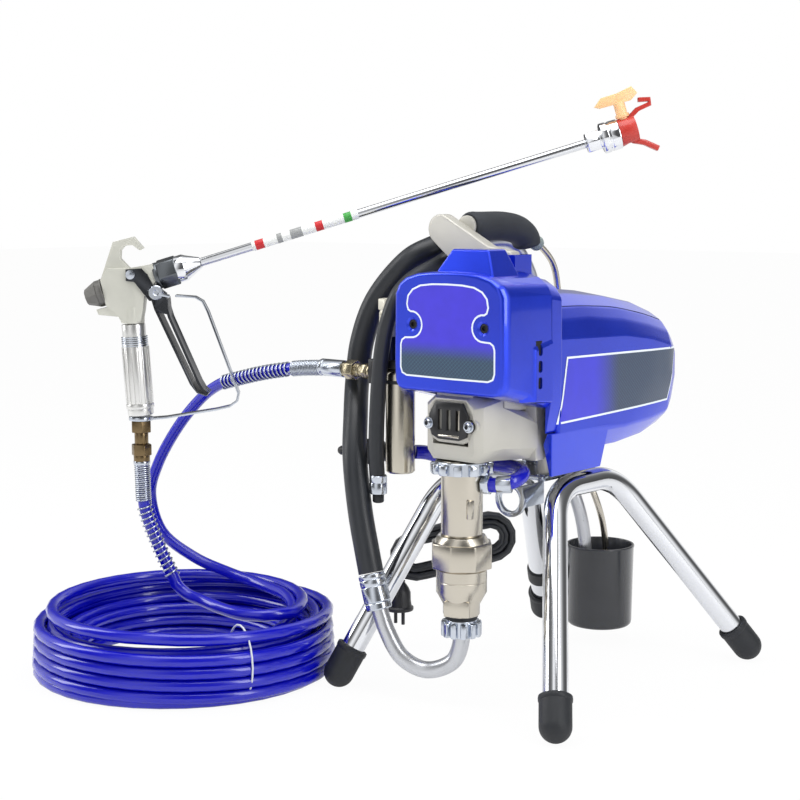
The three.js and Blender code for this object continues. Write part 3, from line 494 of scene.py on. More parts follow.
guard_line = flow(MACHINE_GUARD + MACHINE_RUN[:1], 8)
closed = [p for p in guard_line if p.x > -262]
opened = [p for p in guard_line if -376 < p.x <= -258]
wound = coiled_wire(closed, 8.4, 2.4) + coiled_wire(opened, 8.2, 6.4)
tube("outlet_spring", wound, 1.05, spring_zinc, round_=1,
                    stands_for="spring_guard_machine")
guard_line = flow(GUN_GUARD, 8)
closed = [p for p in guard_line if p.z > 196]
opened = [p for p in guard_line if p.z <= 198]
wound = coiled_wire(opened, 8.2, 6.4) + coiled_wire(closed, 8.4, 2.4)
tube("gun_spring", wound, 1.05, spring_zinc, round_=1, stands_for="spring_guard_gun")
tie_white = grained("tie_strap", paint(214, 218, 224), 0.4, coarse=200, fine=900, bump=0.05)
tie_line = []
for i in range(25):
    a = math.tau * i / 24
    ang = math.radians(-18)
    rr = 148 + 30 * math.cos(a)
    tie_line.append((COIL_X + rr * math.cos(ang), COIL_Y + rr * math.sin(ang), 43 + 41 * math.sin(a)))
tie = tube("coil_tie", tie_line, 1.1, tie_white, round_=2)
round(length_of(line), 1)

# ---- Mains lead ----
# Round rubber lead. A tapered relief leaves the motor cover, and the lead is folded into a
# hank that hangs by the back left leg, with its plug under it.
LEAD_R = 3.3
YAW = math.radians(40.44)
lead_rubber = grained("lead_rubber", paint(30, 33, 38), 0.42, coarse=60, fine=700, bump=0.12, spread=0.2)
LEAN = math.radians(14)
HANK_X = Vector((math.cos(LEAN) * math.cos(YAW), math.cos(LEAN) * math.sin(YAW), math.sin(LEAN)))
HANK_N = Vector((-math.sin(YAW), math.cos(YAW), 0))
HANK_Z = HANK_X.cross(HANK_N)
HANK_AT = Vector((-158, 69, 126))


def hank_point(x, z, n):
    return HANK_AT + HANK_X * x + HANK_Z * z + HANK_N * n


def hank_loop(radius, layer, share):
    """A point on a long loop of the hank; share 0 to 1 runs once round it, starting at the top."""
    run = 48.0
    around = 4 * run + math.tau * radius
    s = share * around
    if s < run:
        return hank_point(s, radius, layer)
    s -= run
    if s < math.pi * radius:
        a = math.pi / 2 - s / radius
        return hank_point(run + radius * math.cos(a), radius * math.sin(a), layer)
    s -= math.pi * radius
    if s < 2 * run:
        return hank_point(run - s, -radius, layer)
    s -= 2 * run
    if s < math.pi * radius:
        a = -math.pi / 2 - s / radius
        return hank_point(-run + radius * math.cos(a), radius * math.sin(a), layer)
    s -= math.pi * radius
    return hank_point(-run + s, radius, layer)


hank_turns = [(28.4, 7.2), (21.6, 7.2), (14.8, 7.2), (14.8, 0), (21.6, 0), (28.4, 0), (28.4, -7.2),
              (21.6, -7.2), (14.8, -7.2),
              (14.8, -7.2)]
lead_line = flow([(-94, 30, 270), (-116, 32, 264), (-136, 44, 240), (-147, 62, 205), (-160, 72, 172)], 6)
for (r0, n0), (r1, n1) in zip(hank_turns, hank_turns[1:]):
    for i in range(28):
        t = i / 28
        wave = 0.7 * math.sin(9 * t + r0 + n0)
        lead_line.append(hank_loop(r0 + (r1 - r0) * t + wave, n0 + (n1 - n0) * t, t))
lead_line = lead_line[:-6]
tail = [hank_point(-54, 12, -9), hank_point(-66, 2, -14.5), hank_point(-72, -14, -15),
        Vector((-205, 27, 104)),
        Vector((-206, 24, 92)), Vector((-206, 24, 84))]
lead_line += flow(tail, 6)
lead = tube("mains_lead", lead_line, LEAD_R, lead_rubber, round_=4,
            stands_for=("power_lead", "power_hank"))
plug_black = grained("plug_moulding", paint(28, 29, 33), 0.38, coarse=80, fine=900, bump=0.1, spread=0.15)
plug = made("mains_plug", gathered(
    turned([(0, 27.8), (17.0, 27.8), (17.6, 29), (17.6, 31.5), (15.2, 33.5), (14.2, 40), (14.0, 50),
            (11.5, 56),
            (8.0, 61), (6.8, 63), (7.4, 64.4), (6.0, 65.6), (6.6, 67), (5.2, 68), (0, 68)], 40),
    rod(2.2, 10, 28.5, foot=(6, 0, 0), sides=20), rod(2.2, 10, 28.5, foot=(-6, 0, 0), sides=20)),
    plug_black, "black_plastic", stands_for="power_plug", shift=Matrix.Translation((-206, 24, 18.3)))
clamp_line = [hank_point(6, 35.5 * math.cos(a), 13.5 * math.sin(a))
              for a in [math.tau * i / 24 for i in range(25)]]
clamp = tube("hank_tie", clamp_line, 1.5, lead_rubber, round_=2)
round(length_of(lead_line), 2)
rubber = grained("rubber", paint(26, 29, 34), 0.55, coarse=70, fine=1100, bump=0.2, spread=0.18)
relief = [(0, 0)]
for k in range(5):
    r = 4.6 + 0.6 * k
    relief += [(r, k * 6.2), (r, k * 6.2 + 4), (r - 1.0, k * 6.2 + 4.6), (r - 0.8, k * 6.2 + 6.2)]
relief += [(8.2, 31), (8.2, 31.6), (0, 31.6)]
made("lead_relief", turned(relief, 32, (1, 0, 0), (-96, 30, 270)), rubber, "rubber",
     stands_for="strain_relief")

# ---- Stand ----
# Two bent frames of 27 mm steel tube, polished and chromed. Each leg ends in a domed rubber
# cap that is pushed on, with a thin rolled rim at its mouth.
chrome = grained("chrome", paint(226, 228, 232), 0.085, 1.0, coarse=14, fine=60, bump=0.015, spread=0.03)
LEG_R, CAP_R, STAND_Z = 13.5, 17.3, 231


def leg_line(tops, side):
    feet = [Vector((side * 149, -148, CAP_R)), Vector((side * 149, 251, CAP_R))]
    corners = [Vector((*t, STAND_Z)) for t in tops]
    ups = [(c - f).normalized() for c, f in zip(corners, feet)]
    points = [feet[0] + ups[0] * 3.3, corners[0], corners[1], feet[1] + ups[1] * 3.3]
    line = [points[0]]
    for before, corner, after in zip(points, points[1:], points[2:]):
        a = corner + (before - corner).normalized() * 38
        b = corner + (after - corner).normalized() * 38
        line += [a * (1 - t) ** 2 + corner * 2 * t * (1 - t) + b * t * t for t in [i / 16 for i in range(17)]]
    return line + [points[3]], list(zip(feet, ups))


def foot_cap(name, foot, up):
    profile = [(0, -CAP_R)] + [(CAP_R * math.sin(a), -CAP_R * math.cos(a))
                               for a in [math.radians(7.5 * i) for i in range(1, 13)]]
    profile += [(CAP_R, 26), (CAP_R + 0.7, 27), (CAP_R + 0.9, 29.5), (CAP_R + 0.6, 32), (CAP_R - 0.6, 32.7),
                (LEG_R + 0.6, 32.7), (LEG_R + 0.5, 28)]
    made(name, turned(profile, 48, up, foot), rubber, "rubber", stands_for=name)


for hand, side, tops in (("right", 1, [(46, -6), (46, 110)]), ("left", -1, [(-77, -46), (-63, 92)])):
    line, feet = leg_line(tops, side)
    tube("stand_" + hand, line, LEG_R, chrome, stands_for="frame_" + hand, round_=14)
    for end, (foot, up) in zip(("front", "back"), feet):
        foot_cap("foot_cap_" + end + "_" + hand, foot, up)
strap_black = grained("strap", paint(24, 26, 30), 0.5, coarse=120, fine=800, bump=0.25)
line, feet = leg_line([(-77, -46), (-63, 92)], -1)
foot, up = feet[1]
made("leg_strap", turned([(LEG_R + 0.2, 62), (LEG_R + 2.2, 62.6), (LEG_R + 2.4, 72), (LEG_R + 2.2, 83),
                          (LEG_R + 0.2, 84)], 40, up, foot),
     strap_black, "rubber")

# ---- Mounting plate ----
# Polished zinc-plated steel plate between the two frames, with a ring eye bracket on its
# front edge. A rippled bead of weld joins it to the right frame.
zinc = grained("zinc_plate", paint(196, 202, 212), 0.2, 1.0, coarse=26, fine=700, bump=0.06, spread=0.12)
made("deck", soften(copied("mounting_plate"), 0.8, 30), zinc, "zinc", stands_for="mounting_plate")
weld = [(33.6 + 0.5 * math.sin(i * 1.1), -6 + i * 2.0, 243.2 + 0.5 * math.sin(i * 2.3)) for i in range(49)]
tube("weld_bead", weld, 2.3, zinc, round_=3,
     swell=[1.0 + 0.35 * math.sin(i * 2.6) + 0.12 * math.sin(i * 5.1) for i in range(49)])


def hex_bolt(x, y, z, along=(0, 0, 1), size=8.0):
    """A zinc nut on its washer with the screw's end showing."""
    return gathered(rod(size * 1.35, 0, 1.4, along, (x, y, z), 32, 0.3),
                    nut(size, 1.4, 7.4, along, (x, y, z), 6, 0.6),
                    nut(size, 8.0, 13.2, along, (x, y, z), 6, 0.6, spin=24), rod(size * 0.5, 1, 15, along,
                                                                                 (x, y, z), 24, 0.5))


bolts = [hex_bolt(x, y, 243.1) for x, y in [(25, 5), (25, 75), (-45, 5), (-45, 75)]]
made("deck_nuts", gathered(*bolts), zinc, "zinc")

# ---- Pump ----
# Turned and brushed nickel-plated steel: the cylinder under a castellated jam nut, the big
# octagonal nut, the intake valve body with its spanner flats, and a castellated union nut.
PUMP = (0, -114, 0)


def brushed(name, colour, rough, centre=PUMP, spread=0.1):
    """Brushed metal with fine turning lines round an upright axis."""
    made_, shader, place = new_finish(name, Metallic=1.0, Anisotropic=0.35)
    rings = place.stretched((25, 25, 2600)).noise(1.0, 3, 0.6)
    slow = place.noise(22, 3)
    feed(shader, Base_Color=(slow * 0.55 + rings * 0.45).blend(rgba(colour, 1 - spread),
                                                               rgba(colour, 1 + spread)))
    feed(shader, Roughness=rings * (rough * 0.5) + slow * (rough * 0.3) + rough * 0.6)
    feed(shader, Normal=place.node("Bump", Height=rings, Strength=0.12, Distance=0.0002))
    return made_


nickel = brushed("brushed_nickel", paint(196, 190, 178), 0.24)
cylinder = turned([(14.6, 190.3), (22.2, 190.3), (22.5, 191), (22.5, 271), (22.0, 271.7), (9.6, 271.7)], 72,
                  foot=PUMP)
made("cylinder", cylinder, nickel, "pump_steel", stands_for="pump_cylinder")
made("cylinder_flat", box(18.6, 22.35, -129, -121, 211, 231, 0.5), nickel, "pump_steel")


def castle_nut(radius, bore, low, high, lugs, width, turn=0.0):
    """A ring nut with square lugs round it."""
    ring = turned([(bore, low), (radius - 5.4, low), (radius - 5, low + 0.6), (radius - 5, high - 0.8),
                   (radius - 5.6, high),
                   (bore, high), (bore, low)], 72)
    return gathered(ring, *ringed(lugs, lambda: box(radius - 8, radius, -width / 2, width / 2, low + 0.4,
                                                    high - 2.6, 0.9),
                                  turn))


made("pump_jam_nut", castle_nut(34, 22.8, 257.8, 271.5, 12, 9), zinc, "zinc", stands_for="jam_nut",
     shift=Matrix.Translation(PUMP))
big = gathered(nut(34.5, 155, 183, foot=PUMP, sides=8, edge=1.6, spin=18),
               turned([(0, 182), (29.5, 182.2), (29.5, 183.4), (27, 188), (25.6, 190), (0, 190)], 72,
                      foot=PUMP),
               rod(28.6, 154.6, 160, foot=PUMP, sides=64))
made("big_nut", big, nickel, "pump_steel", stands_for="pump_nut")
valve = turned([(0, 102.4), (19, 102.4), (20, 104), (20, 114.5), (27.5, 128.3), (27.5, 140), (27.2, 140.4),
                (27.2, 141.2), (27.5, 141.6),
                (27.5, 152.5), (25.6, 154.6), (0, 154.6)], 72, foot=PUMP)
flats = [box(-14, 14, s * 20.4 - 2.4, s * 20.4 + 2.4, 104, 121, 0.8) for s in (-1, 1)]
for flat_ in flats:
    bmesh.ops.rotate(flat_, verts=flat_.verts, cent=(0, 0, 0),
                     matrix=Matrix.Rotation(math.radians(24), 3, "Z"))
    bmesh.ops.translate(flat_, verts=flat_.verts, vec=PUMP)
made("valve_body", gathered(valve, *flats), nickel, "pump_steel", stands_for="intake_valve_body")
made("union", castle_nut(22, 9.9, 79, 98, 12, 6.4, 0.5), zinc, "zinc", stands_for="union_nut",
     shift=Matrix.Translation(PUMP))
made("union_seal", gathered(rod(17.4, 97.6, 100.2, foot=PUMP, sides=64, edge=0.9),
                            rod(18.3, 100.4, 102.3, foot=PUMP, sides=64, edge=0.8)),
     rubber, "rubber")

# ---- Gear housing and window ----
# Bead-blasted aluminium casting. Its nose carries a raised rim, and a black moulded plate
# with three slots closes the crank opening, held by two zinc screws.
def cast(name, colour, rough=0.5):
    made_, shader, place = new_finish(name, Metallic=0.55)
    grit = place.noise(2600, 2, 0.6)
    slow = place.noise(34, 4)
    feed(shader, Base_Color=slow.blend(rgba(colour, 0.88), rgba(colour, 1.08)))
    feed(shader, Roughness=slow * 0.12 + grit * 0.2 + rough * 0.7)
    feed(shader, Normal=place.node("Bump", Height=grit, Strength=0.35, Distance=0.0003))
    return made_


casting = cast("casting", paint(196, 194, 186))
dark_casting = cast("dark_casting", paint(112, 111, 108))
made("housing", soften(copied("gear_housing"), 1.3, 28), casting, "casting", stands_for="gear_housing")
WINDOW = [(-23, 300), (-14, 296), (14, 296), (23, 300), (26, 310), (26, 322), (18, 336), (-18, 336),
          (-26, 322), (-26, 310)]
rim = [(x * 1.2, 316 + (z - 316) * 1.2) for x, z in WINDOW]
made("housing_rim", gathered(plate(rim, -134.0, -126, 1.6, 3),
                             rod(8.6, -134, -124, (0, 1, 0), (-27.5, 0, 312), 40, 1.2),
                             rod(8.6, -134, -124, (0, 1, 0), (27.5, 0, 312), 40, 1.2)), casting, "casting")
window_black = grained("window_moulding", paint(24, 25, 28), 0.34, coarse=60, fine=1200, bump=0.12,
                       spread=0.2)
made("window", soften(copied("window_cover"), 0.7, 30), window_black, "black_plastic",
     stands_for="window_cover")
shade = grained("inner_shade", paint(12, 12, 14), 0.6, coarse=60, fine=600, bump=0.1, spread=0.3)
made("window_step", box(-17, 17, -137.6, -134.4, 297.6, 302.6, 1.0), shade, "black_plastic")
made("window_glint", gathered(rod(2.3, 300, 333, foot=(11.6, -133.2, 0), sides=20),
                              rod(1.7, -14, 14, (1, 0, 0), (0, -136.6, 299.6), 16)), nickel, "pump_steel")


def cap_screw(x, y, z, along=(0, -1, 0), size=4.6):
    """A zinc socket screw with a domed head."""
    return turned([(0, 2.2), (size * 0.42, 2.2), (size * 0.5, 4.4), (size * 0.8, 4.2), (size, 2.9),
                   (size, 0.9),
                   (size * 1.35, 0.8), (size * 1.4, 0), (0, 0)], 32, along, (x, y, z))


made("window_screws", gathered(cap_screw(-27, -137.6, 312), cap_screw(27, -137.6, 312)), zinc, "zinc")
for node, finish in (("motor_can", dark_casting), ("rotor", nickel), ("crank_gear", nickel),
                     ("connecting_yoke", nickel),
                     ("piston_rod", chrome), ("filter_element", nickel)):
    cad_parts[node].data.materials.clear()
    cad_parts[node].data.materials.append(finish)
made("housing_rear", gathered(box(-50, 54, -44, 20, 279, 318, 4), box(-44, 48, 18, 88, 284, 318, 4)),
     dark_casting, "dark_metal")

# ---- Front cover ----
# Injection-moulded cover in metallic blue lacquer: a rounded box with a hump on top, open
# below for the pump nose, with a faceted vent on its label side. Screws sit in two wells.
def lacquer(name, colour, flake):
    made_, shader, place = new_finish(name, Metallic=0.7, IOR=1.5, Coat_Weight=0.8, Coat_Roughness=0.06)
    spark = place.noise(5200, 1, 0.5)
    slow = place.noise(9, 3)
    tone = slow * 0.6 + spark * 0.4
    feed(shader, Base_Color=tone.blend(rgba(colour, 0.82), rgba(flake, 1.0)),
         Roughness=spark * 0.12 + slow * 0.06 + 0.2)
    feed(shader, Normal=place.node("Bump", Height=spark, Strength=0.05, Distance=0.0001))
    return made_


blue = lacquer("blue_lacquer", paint(14, 40, 208), paint(30, 74, 246))


def hull(points, flat=4):
    bm = bmesh.new()
    for point in points:
        bm.verts.new(point)
    done = bmesh.ops.convex_hull(bm, input=bm.verts)
    bmesh.ops.delete(bm, geom=[v for v in done["geom_interior"] if isinstance(v, bmesh.types.BMVert)],
                     context="VERTS")
    bmesh.ops.dissolve_limit(bm, angle_limit=math.radians(flat), verts=bm.verts, edges=bm.edges)
    return bm


def lofted(stations, flat=4):
    """The hull of mirrored half outlines, each at its own place along y."""
    return hull([(s * x, y, z) for y, half in stations for x, z in half for s in (1, -1)], flat)


def inner(half, middle):
    """A half outline drawn in by the covers' wall; middle is the height that parts its floor from its roof."""
    return [(max(x - WALL, 0), z + (WALL if z < middle else -WALL)) for x, z in half]


def carved(bm, *tools, how="DIFFERENCE"):
    """One shape with others cut away from it or joined to it."""
    def thing(shape):
        mesh = bpy.data.meshes.new("work")
        bmesh.ops.recalc_face_normals(shape, faces=shape.faces)
        shape.to_mesh(mesh)
        shape.free()
        one = bpy.data.objects.new("work", mesh)
        bpy.context.scene.collection.objects.link(one)
        return one
    things = [thing(bm)] + [thing(tool) for tool in tools]
    for tool in things[1:]:
        step = things[0].modifiers.new("cut", "BOOLEAN")
        step.object = tool
        step.operation = how
        step.solver = "EXACT"
    out = bmesh.new()
    out.from_object(things[0], bpy.context.evaluated_depsgraph_get())
    for one in things:
        mesh = one.data
        bpy.data.objects.remove(one)
        bpy.data.meshes.remove(mesh)
    return out


def even(thing):
    """Keeps large flat faces flat beside rounded edges."""
    step = thing.modifiers.new("even", "WEIGHTED_NORMAL")
    step.keep_sharp = True
    step.weight = 100
    return thing


WALL = 5
FACE = [(60, 346), (67, 348), (71, 355), (72, 380), (71, 448), (66, 459), (56, 466), (40, 470.5), (20, 472.5),
        (0, 473)]
BACK = [(71, 326), (77, 334), (78, 380), (77, 448), (72, 458), (60, 467), (40, 472), (20, 473.5), (0, 474)]
MID = [(x + 4.4, z + (0.8 if z > 400 else -0.8)) for x, z in FACE]
shell = soften(lofted([(-141, FACE), (-133, MID), (-52, BACK)], 2), 3.2, 24, 4)
crown = soften(hull([(-29, -131, 466), (53, -131, 466), (-29, -82, 466), (53, -82, 466), (-9, -121, 497),
                     (39, -121, 497),
                     (-9, -91, 497), (39, -91, 497)]), 2.4, 20, 4)
vent = soften(hull([(70, -108, 338), (70, -108, 404), (79.5, -90, 338), (79.5, -90, 392), (79.5, -40, 334),
                    (79.5, -40, 404),
                    (70, -40, 330), (70, -40, 412)]), 1.2, 20, 3)
shell = carved(shell, crown, vent, how="UNION")
tools = [lofted([(-137, inner(FACE, 400)), (-40, inner(BACK, 400))]),
         box(-100, 100, -60.6, 0, 300, 520, 0),
         hull([(-36, -150, 310), (36, -150, 310), (-36, -150, 344.5), (36, -150, 344.5), (-42, -40, 310),
               (42, -40, 310),
               (-42, -40, 350), (42, -40, 350)])]
for side in (-1, 1):
    tools.append(turned([(0, -30), (5.2, -30), (5.2, -2.6), (9.4, 0.4), (9.4, 20), (0, 20)], 40, (0, -1, 0),
                        (side * 47.7, -141.8, 416.5)))
for k in range(3):
    slot = box(70, 90, -86.5, -79.5, 351 + k * 17.5, 363.5 + k * 17.5, 0)
    tools.append(soften(slot, 2.6, 30, 3))
cover = even(made("front_shell", carved(shell, *tools), blue, "blue_cover", stands_for="front_cover",
                  smooth=28))
made("well_screws", gathered(*[turned([(0, 1), (2.4, 1), (2.8, 3), (5.1, 2.4), (5.1, 0), (0, 0)], 24,
                                      (0, -1, 0), (x, -136.2, 416.5)) for x in (-47.7, 47.7)]),
     shade, "black_plastic")
made("vent_shade", box(72, 77.2, -88.5, -77, 348, 402, 0.4), shade, "black_plastic")


def label_finish(name, hot, cold, along, start, span, hatch):
    """A printed panel under clear film: one colour fades into another, crossed by a fine lattice."""
    made_, shader, place = new_finish(name, IOR=1.5, Coat_Weight=0.6, Coat_Roughness=0.1, Metallic=0.1)
    axes = place.node("SeparateXYZ", Vector=place).socket.node.outputs
    x, y, z = [Wire(place.tree, socket) for socket in axes]
    run = {"x": x, "y": y, "z": z}[along]
    fade = run.node("MapRange", {"interpolation_type": "SMOOTHSTEP"}, Value=run, in1=start, in2=start + span)
    flat_run = y if along == "y" else x
    lines = None
    for sign in hatch:
        step = (flat_run * (0.9 * sign) + z) * 230.0
        wave = step.node("Math", {"operation": "PINGPONG"}, in0=step, in1=0.5)
        thin = wave < 0.055
        lines = thin if lines is None else lines.node("Math", {"operation": "MAXIMUM"}, in0=lines, in1=thin)
    mottled = place.noise(60, 3)
    cold_lines = (lines * 0.55).blend(rgba(cold), rgba(paint(70, 120, 146)))
    warm = mottled.blend(rgba(hot, 0.88), rgba(hot, 1.12))
    feed(shader, Base_Color=fade.blend(cold_lines, warm), Roughness=mottled * 0.08 + 0.3)
    return made_


white_line = grained("label_line", paint(232, 240, 248), 0.35, coarse=60, fine=700, bump=0.04, spread=0.04)
front_print = label_finish("front_label", paint(58, 44, 214), paint(38, 62, 88), "z", 0.380, 0.022, (1, -1))
half = [(0, 461.4), (20, 461), (36, 459.2), (47, 454.6), (53.6, 447.4), (55.4, 438), (53.4, 431.6),
        (49.6, 429.4)]
half += [(47.7 + 13 * math.cos(math.radians(a)), 416.5 + 13 * math.sin(math.radians(a)))
         for a in range(100, 261, 16)]
half += [(49.6, 403.4), (57.4, 403), (62, 400), (63.8, 395), (64, 370), (61.6, 363.6), (55, 360.8),
         (0, 360.4)]
outline = half + [(-x, z) for x, z in reversed(half[1:-1])]


def edged_label(corners, y0, width):
    """A thin panel with a raised printed border."""
    bm = bmesh.new()
    face = bm.faces.new([bm.verts.new((x, y0, z)) for x, z in corners])
    bmesh.ops.recalc_face_normals(bm, faces=[face])
    if face.normal.y > 0:
        bmesh.ops.reverse_faces(bm, faces=[face])
    pulled = bmesh.ops.extrude_face_region(bm, geom=[face])
    top = [f for f in pulled["geom"] if isinstance(f, bmesh.types.BMFace)]
    bmesh.ops.translate(bm, vec=(0, -0.35, 0),
                        verts=[v for v in pulled["geom"] if isinstance(v, bmesh.types.BMVert)])
    bmesh.ops.inset_region(bm, faces=top, thickness=width, depth=0, use_even_offset=True)
    for one in top:
        one.material_index = 1
    return bm


made("front_panel", edged_label(outline, -141.0, 1.9), [white_line, front_print], "blue_cover")

# ---- Motor cover ----
# The same metallic blue lacquer over a long hood. It overlaps the gear case with a collar,
# steps down at the shoulder, and has a skirt on each side that reaches the deck.
COLLAR = [(-70, [(71, 300), (77, 334), (78, 380), (77, 448), (72, 457), (60, 467), (40, 471), (0, 473)]),
          (-40, [(71, 300), (77, 334), (78, 380), (77, 444), (70, 455), (56, 463), (0, 466)])]
HOOD = [(-42, [(60, 272), (75, 296), (76, 340), (75, 402), (70, 420), (60, 433), (40, 447), (0, 453)]),
        (20, [(60, 272), (75, 296), (76, 340), (75, 402), (70, 420), (60, 433), (40, 446), (0, 451)]),
        (90, [(60, 272), (74.5, 294), (75.5, 340), (75, 398), (70, 414), (60, 427.5), (40, 440), (0, 445)]),
        (150, [(56, 276), (71, 296), (73.5, 340), (73, 390), (68, 404), (58, 417.5), (40, 430), (0, 436)]),
        (195, [(50, 284), (66, 300), (70.5, 340), (70, 380), (65, 394), (55, 407), (38, 417), (0, 422)]),
        (213, [(44, 300), (60, 312), (65, 342), (64.5, 370), (58, 386), (48, 396), (0, 405)]),
        (225, [(30, 326), (50, 334), (54.5, 348), (53, 362), (42, 376), (0, 384)])]
collar = soften(lofted(COLLAR, 2), 3.0, 22, 4)
hood = soften(lofted(HOOD, 2), 3.0, 9, 3)


def skirt(side, high_front, low_front):
    """The plate that hangs from the hood to the deck on one side."""
    return hull([(side * x, y, z) for x, y, z in
                 [(60.4, high_front, 300), (60.4, 57, 300), (75.4, high_front, 300), (75.2, 57, 300),
                  (60.4, low_front, 250), (60.4, 57, 250), (63.8, low_front, 250), (63.8, 57, 250)]])


skirts = [soften(skirt(1, -55, -38), 1.2, 20, 2), skirt(-1, -18, -18)]
whole = carved(hood, collar, *skirts, how="UNION")
tools = [lofted([(y + (0 if y > 0 else -34), inner(half, 345)) for y, half in HOOD[:5]]),
         lofted([(-80, inner(COLLAR[0][1], 345)), (-42, inner(COLLAR[1][1], 345))]),
         box(-100, 100, -140, -60.0, 200, 520, 0), box(-60, 60, -90, 100, 230, 300, 0), box(6.5, 35.5, -70,
                                                                                            -40, 430, 490, 0),
         box(-90, -60, 87, 103, 332, 358, 0)]
back_cover = even(made("motor_shell", carved(whole, *tools), blue, "blue_cover", stands_for="motor_cover",
                       smooth=28))

side_print = label_finish("side_label", paint(46, 46, 208), paint(36, 54, 84), "y", 0.088, -0.06, (1,))
cover_mesh = bmesh.new()
cover_mesh.from_mesh(back_cover.data)
skin = BVHTree.FromBMesh(cover_mesh)


def laid_on_side(corners, lift):
    """A thin panel pressed on the cover's side: a gridded sheet in y and z, carried to the skin."""
    bm = bmesh.new()
    bm.faces.new([bm.verts.new((90, y, z)) for y, z in corners])
    for k in range(1, 26):
        bmesh.ops.bisect_plane(bm, geom=bm.verts[:] + bm.edges[:] + bm.faces[:],
                               plane_co=(90, -60 + k * 11.2, 0), plane_no=(0, 1, 0))
    for k in range(1, 10):
        bmesh.ops.bisect_plane(bm, geom=bm.verts[:] + bm.edges[:] + bm.faces[:],
                               plane_co=(90, 0, 300 + k * 9), plane_no=(0, 0, 1))
    for vert in bm.verts:
        hit = skin.ray_cast(PLACE @ vert.co, Vector((-1, 0, 0)))[0]
        if hit is not None:
            vert.co.x = (PLACE.inverted() @ hit).x + lift
    return bm


SIDE = [(-29, 381), (208, 376), (190, 313.5), (-44, 309)]
SIDE_INNER = [(-26.6, 378.6), (205.2, 373.8), (188.2, 315.8), (-41.2, 311.4)]
made("side_border", laid_on_side(SIDE, 0.35), white_line, "blue_cover")
made("side_panel", laid_on_side(SIDE_INNER, 0.7), side_print, "blue_cover")
ridge = [(-38, 433.6), (0, 433.4), (40, 431.6), (80, 428.6), (120, 422.6), (160, 415), (190, 408)]
seam = []
for point in flow([(120, y, z) for y, z in ridge], 6):
    hit = skin.ray_cast(PLACE @ point, Vector((-1, 0, 0)))[0]
    if hit is not None:
        seam.append(PLACE.inverted() @ hit)
dark_blue = grained("seam_shade", paint(12, 16, 74), 0.5, coarse=60, fine=600, bump=0.05)
tube("hood_seam", seam, 0.55, dark_blue, round_=1)

# ---- Carrying handle ----
# A cast aluminium arm bolted under the hump, and a foam grip on a steel core that bends
# down at its far end.
arc = [(-78 + 16.4 * math.cos(math.radians(a)), 516 + 16.4 * math.sin(math.radians(a)))
       for a in range(228, 66, -12)]
arm = plate(arc + [(-71, 530.6), (-10, 498), (20, 493), (34, 468), (34, 440.4), (8, 440.4), (8, 477),
                   (-55, 479), (-61, 481)],
            -58, -41, 2.0, 3)
made("arm", gathered(arm, rod(12, -42, -38, (0, 1, 0), (-53, 0, 519), 48)), casting, "casting",
     stands_for="handle_arm")
foam, shader, place = new_finish("grip_foam", Specular_IOR_Level=0.3)
cells = place.noise(1500, 2, 0.7)
slow = place.noise(40, 3)
feed(shader, Base_Color=slow.blend(rgba(paint(40, 43, 48)), rgba(paint(58, 61, 66))),
     Roughness=cells * 0.2 + 0.62)
feed(shader, Normal=place.node("Bump", Height=cells, Strength=0.5, Distance=0.0004))
grip_line = flow([(-53, -37.4, 519), (-53, -20, 518.6), (-53, 30, 518), (-53, 56, 513), (-53, 70, 504),
                  (-53, 73, 495)], 10)
ends = [0.84, 0.93, 0.97, 0.99]
tube("grip", grip_line, 16.5, foam, stands_for="handle_grip", round_=12,
     swell=ends + [1.0] * (len(grip_line) - 8) + ends[::-1])

# ---- Filter, outlet and valves ----
# Nickel-plated filter bowl screwed under a black head, a ribbed cap with a hexagon on top,
# plated brass outlet fittings, a black prime lever, and the short blue hose to the pump.
BOWL = (-98, -101, 0)
bowl_nickel = brushed("bowl_nickel", paint(206, 200, 186), 0.2, BOWL)
made("bowl", turned([(0, 246), (14.6, 246), (16.5, 248), (16.5, 356), (16.1, 357.4), (12, 362.4), (0, 362.6)],
                    64, foot=BOWL),
     bowl_nickel, "pump_steel", stands_for="filter_bowl")
made("bowl_ring", turned([(16.0, 346), (17.2, 346.4), (17.2, 350), (16.0, 350.4)], 64, foot=BOWL), rubber,
     "rubber")
made("head", soften(copied("manifold_head"), 1.6, 30), window_black, "black_plastic",
     stands_for="manifold_head")
cream = cast("cap_casting", paint(226, 222, 208), 0.4)
STEM = (-108.5, -106, 0)
knurls = ringed(30, lambda: box(11.0, 12.2, -0.55, 0.55, 400, 425, 0.3))
top = gathered(rod(11.5, 398.4, 427.6, edge=1.2), nut(13.5, 427.4, 440, edge=1.4, spin=12), *knurls)
made("filter_cap_top", laid(top, foot=STEM), cream, "casting", stands_for="filter_cap")
plated = grained("plated_brass", paint(178, 168, 142), 0.26, 1.0, coarse=60, fine=700, bump=0.06, spread=0.14)
OUT = (0, -106, 357)
made("outlet", gathered(rod(7, -152, -131.4, (1, 0, 0), OUT), nut(9.6, -146, -138, (1, 0, 0), OUT, spin=8),
                        rod(8.2, -137.8, -134.6, (1, 0, 0), OUT),
                        rod(7.6, -176, -151.6, (1, 0, 0), OUT), nut(11.6, -173, -158, (1, 0, 0), OUT, spin=20,
                                                                    edge=1.0),
                        *[rod(8.3, -156.6 + k * 1.5, -155.8 + k * 1.5, (1, 0, 0), OUT, 40, 0.2)
                          for k in range(-2, 2)]),
     plated, "brass", stands_for="outlet_fitting")
made("outlet_ferrule", gathered(turned([(6.8, 176.2), (9.6, 176.6), (9.9, 178), (9.9, 205), (9.5, 206),
                                        (9.9, 207), (9.9, 211), (9.4, 212), (8.8, 212)], 48,
                                       (-1, 0, 0), OUT)), zinc, "zinc")
LEVER = (0, -92, 264)
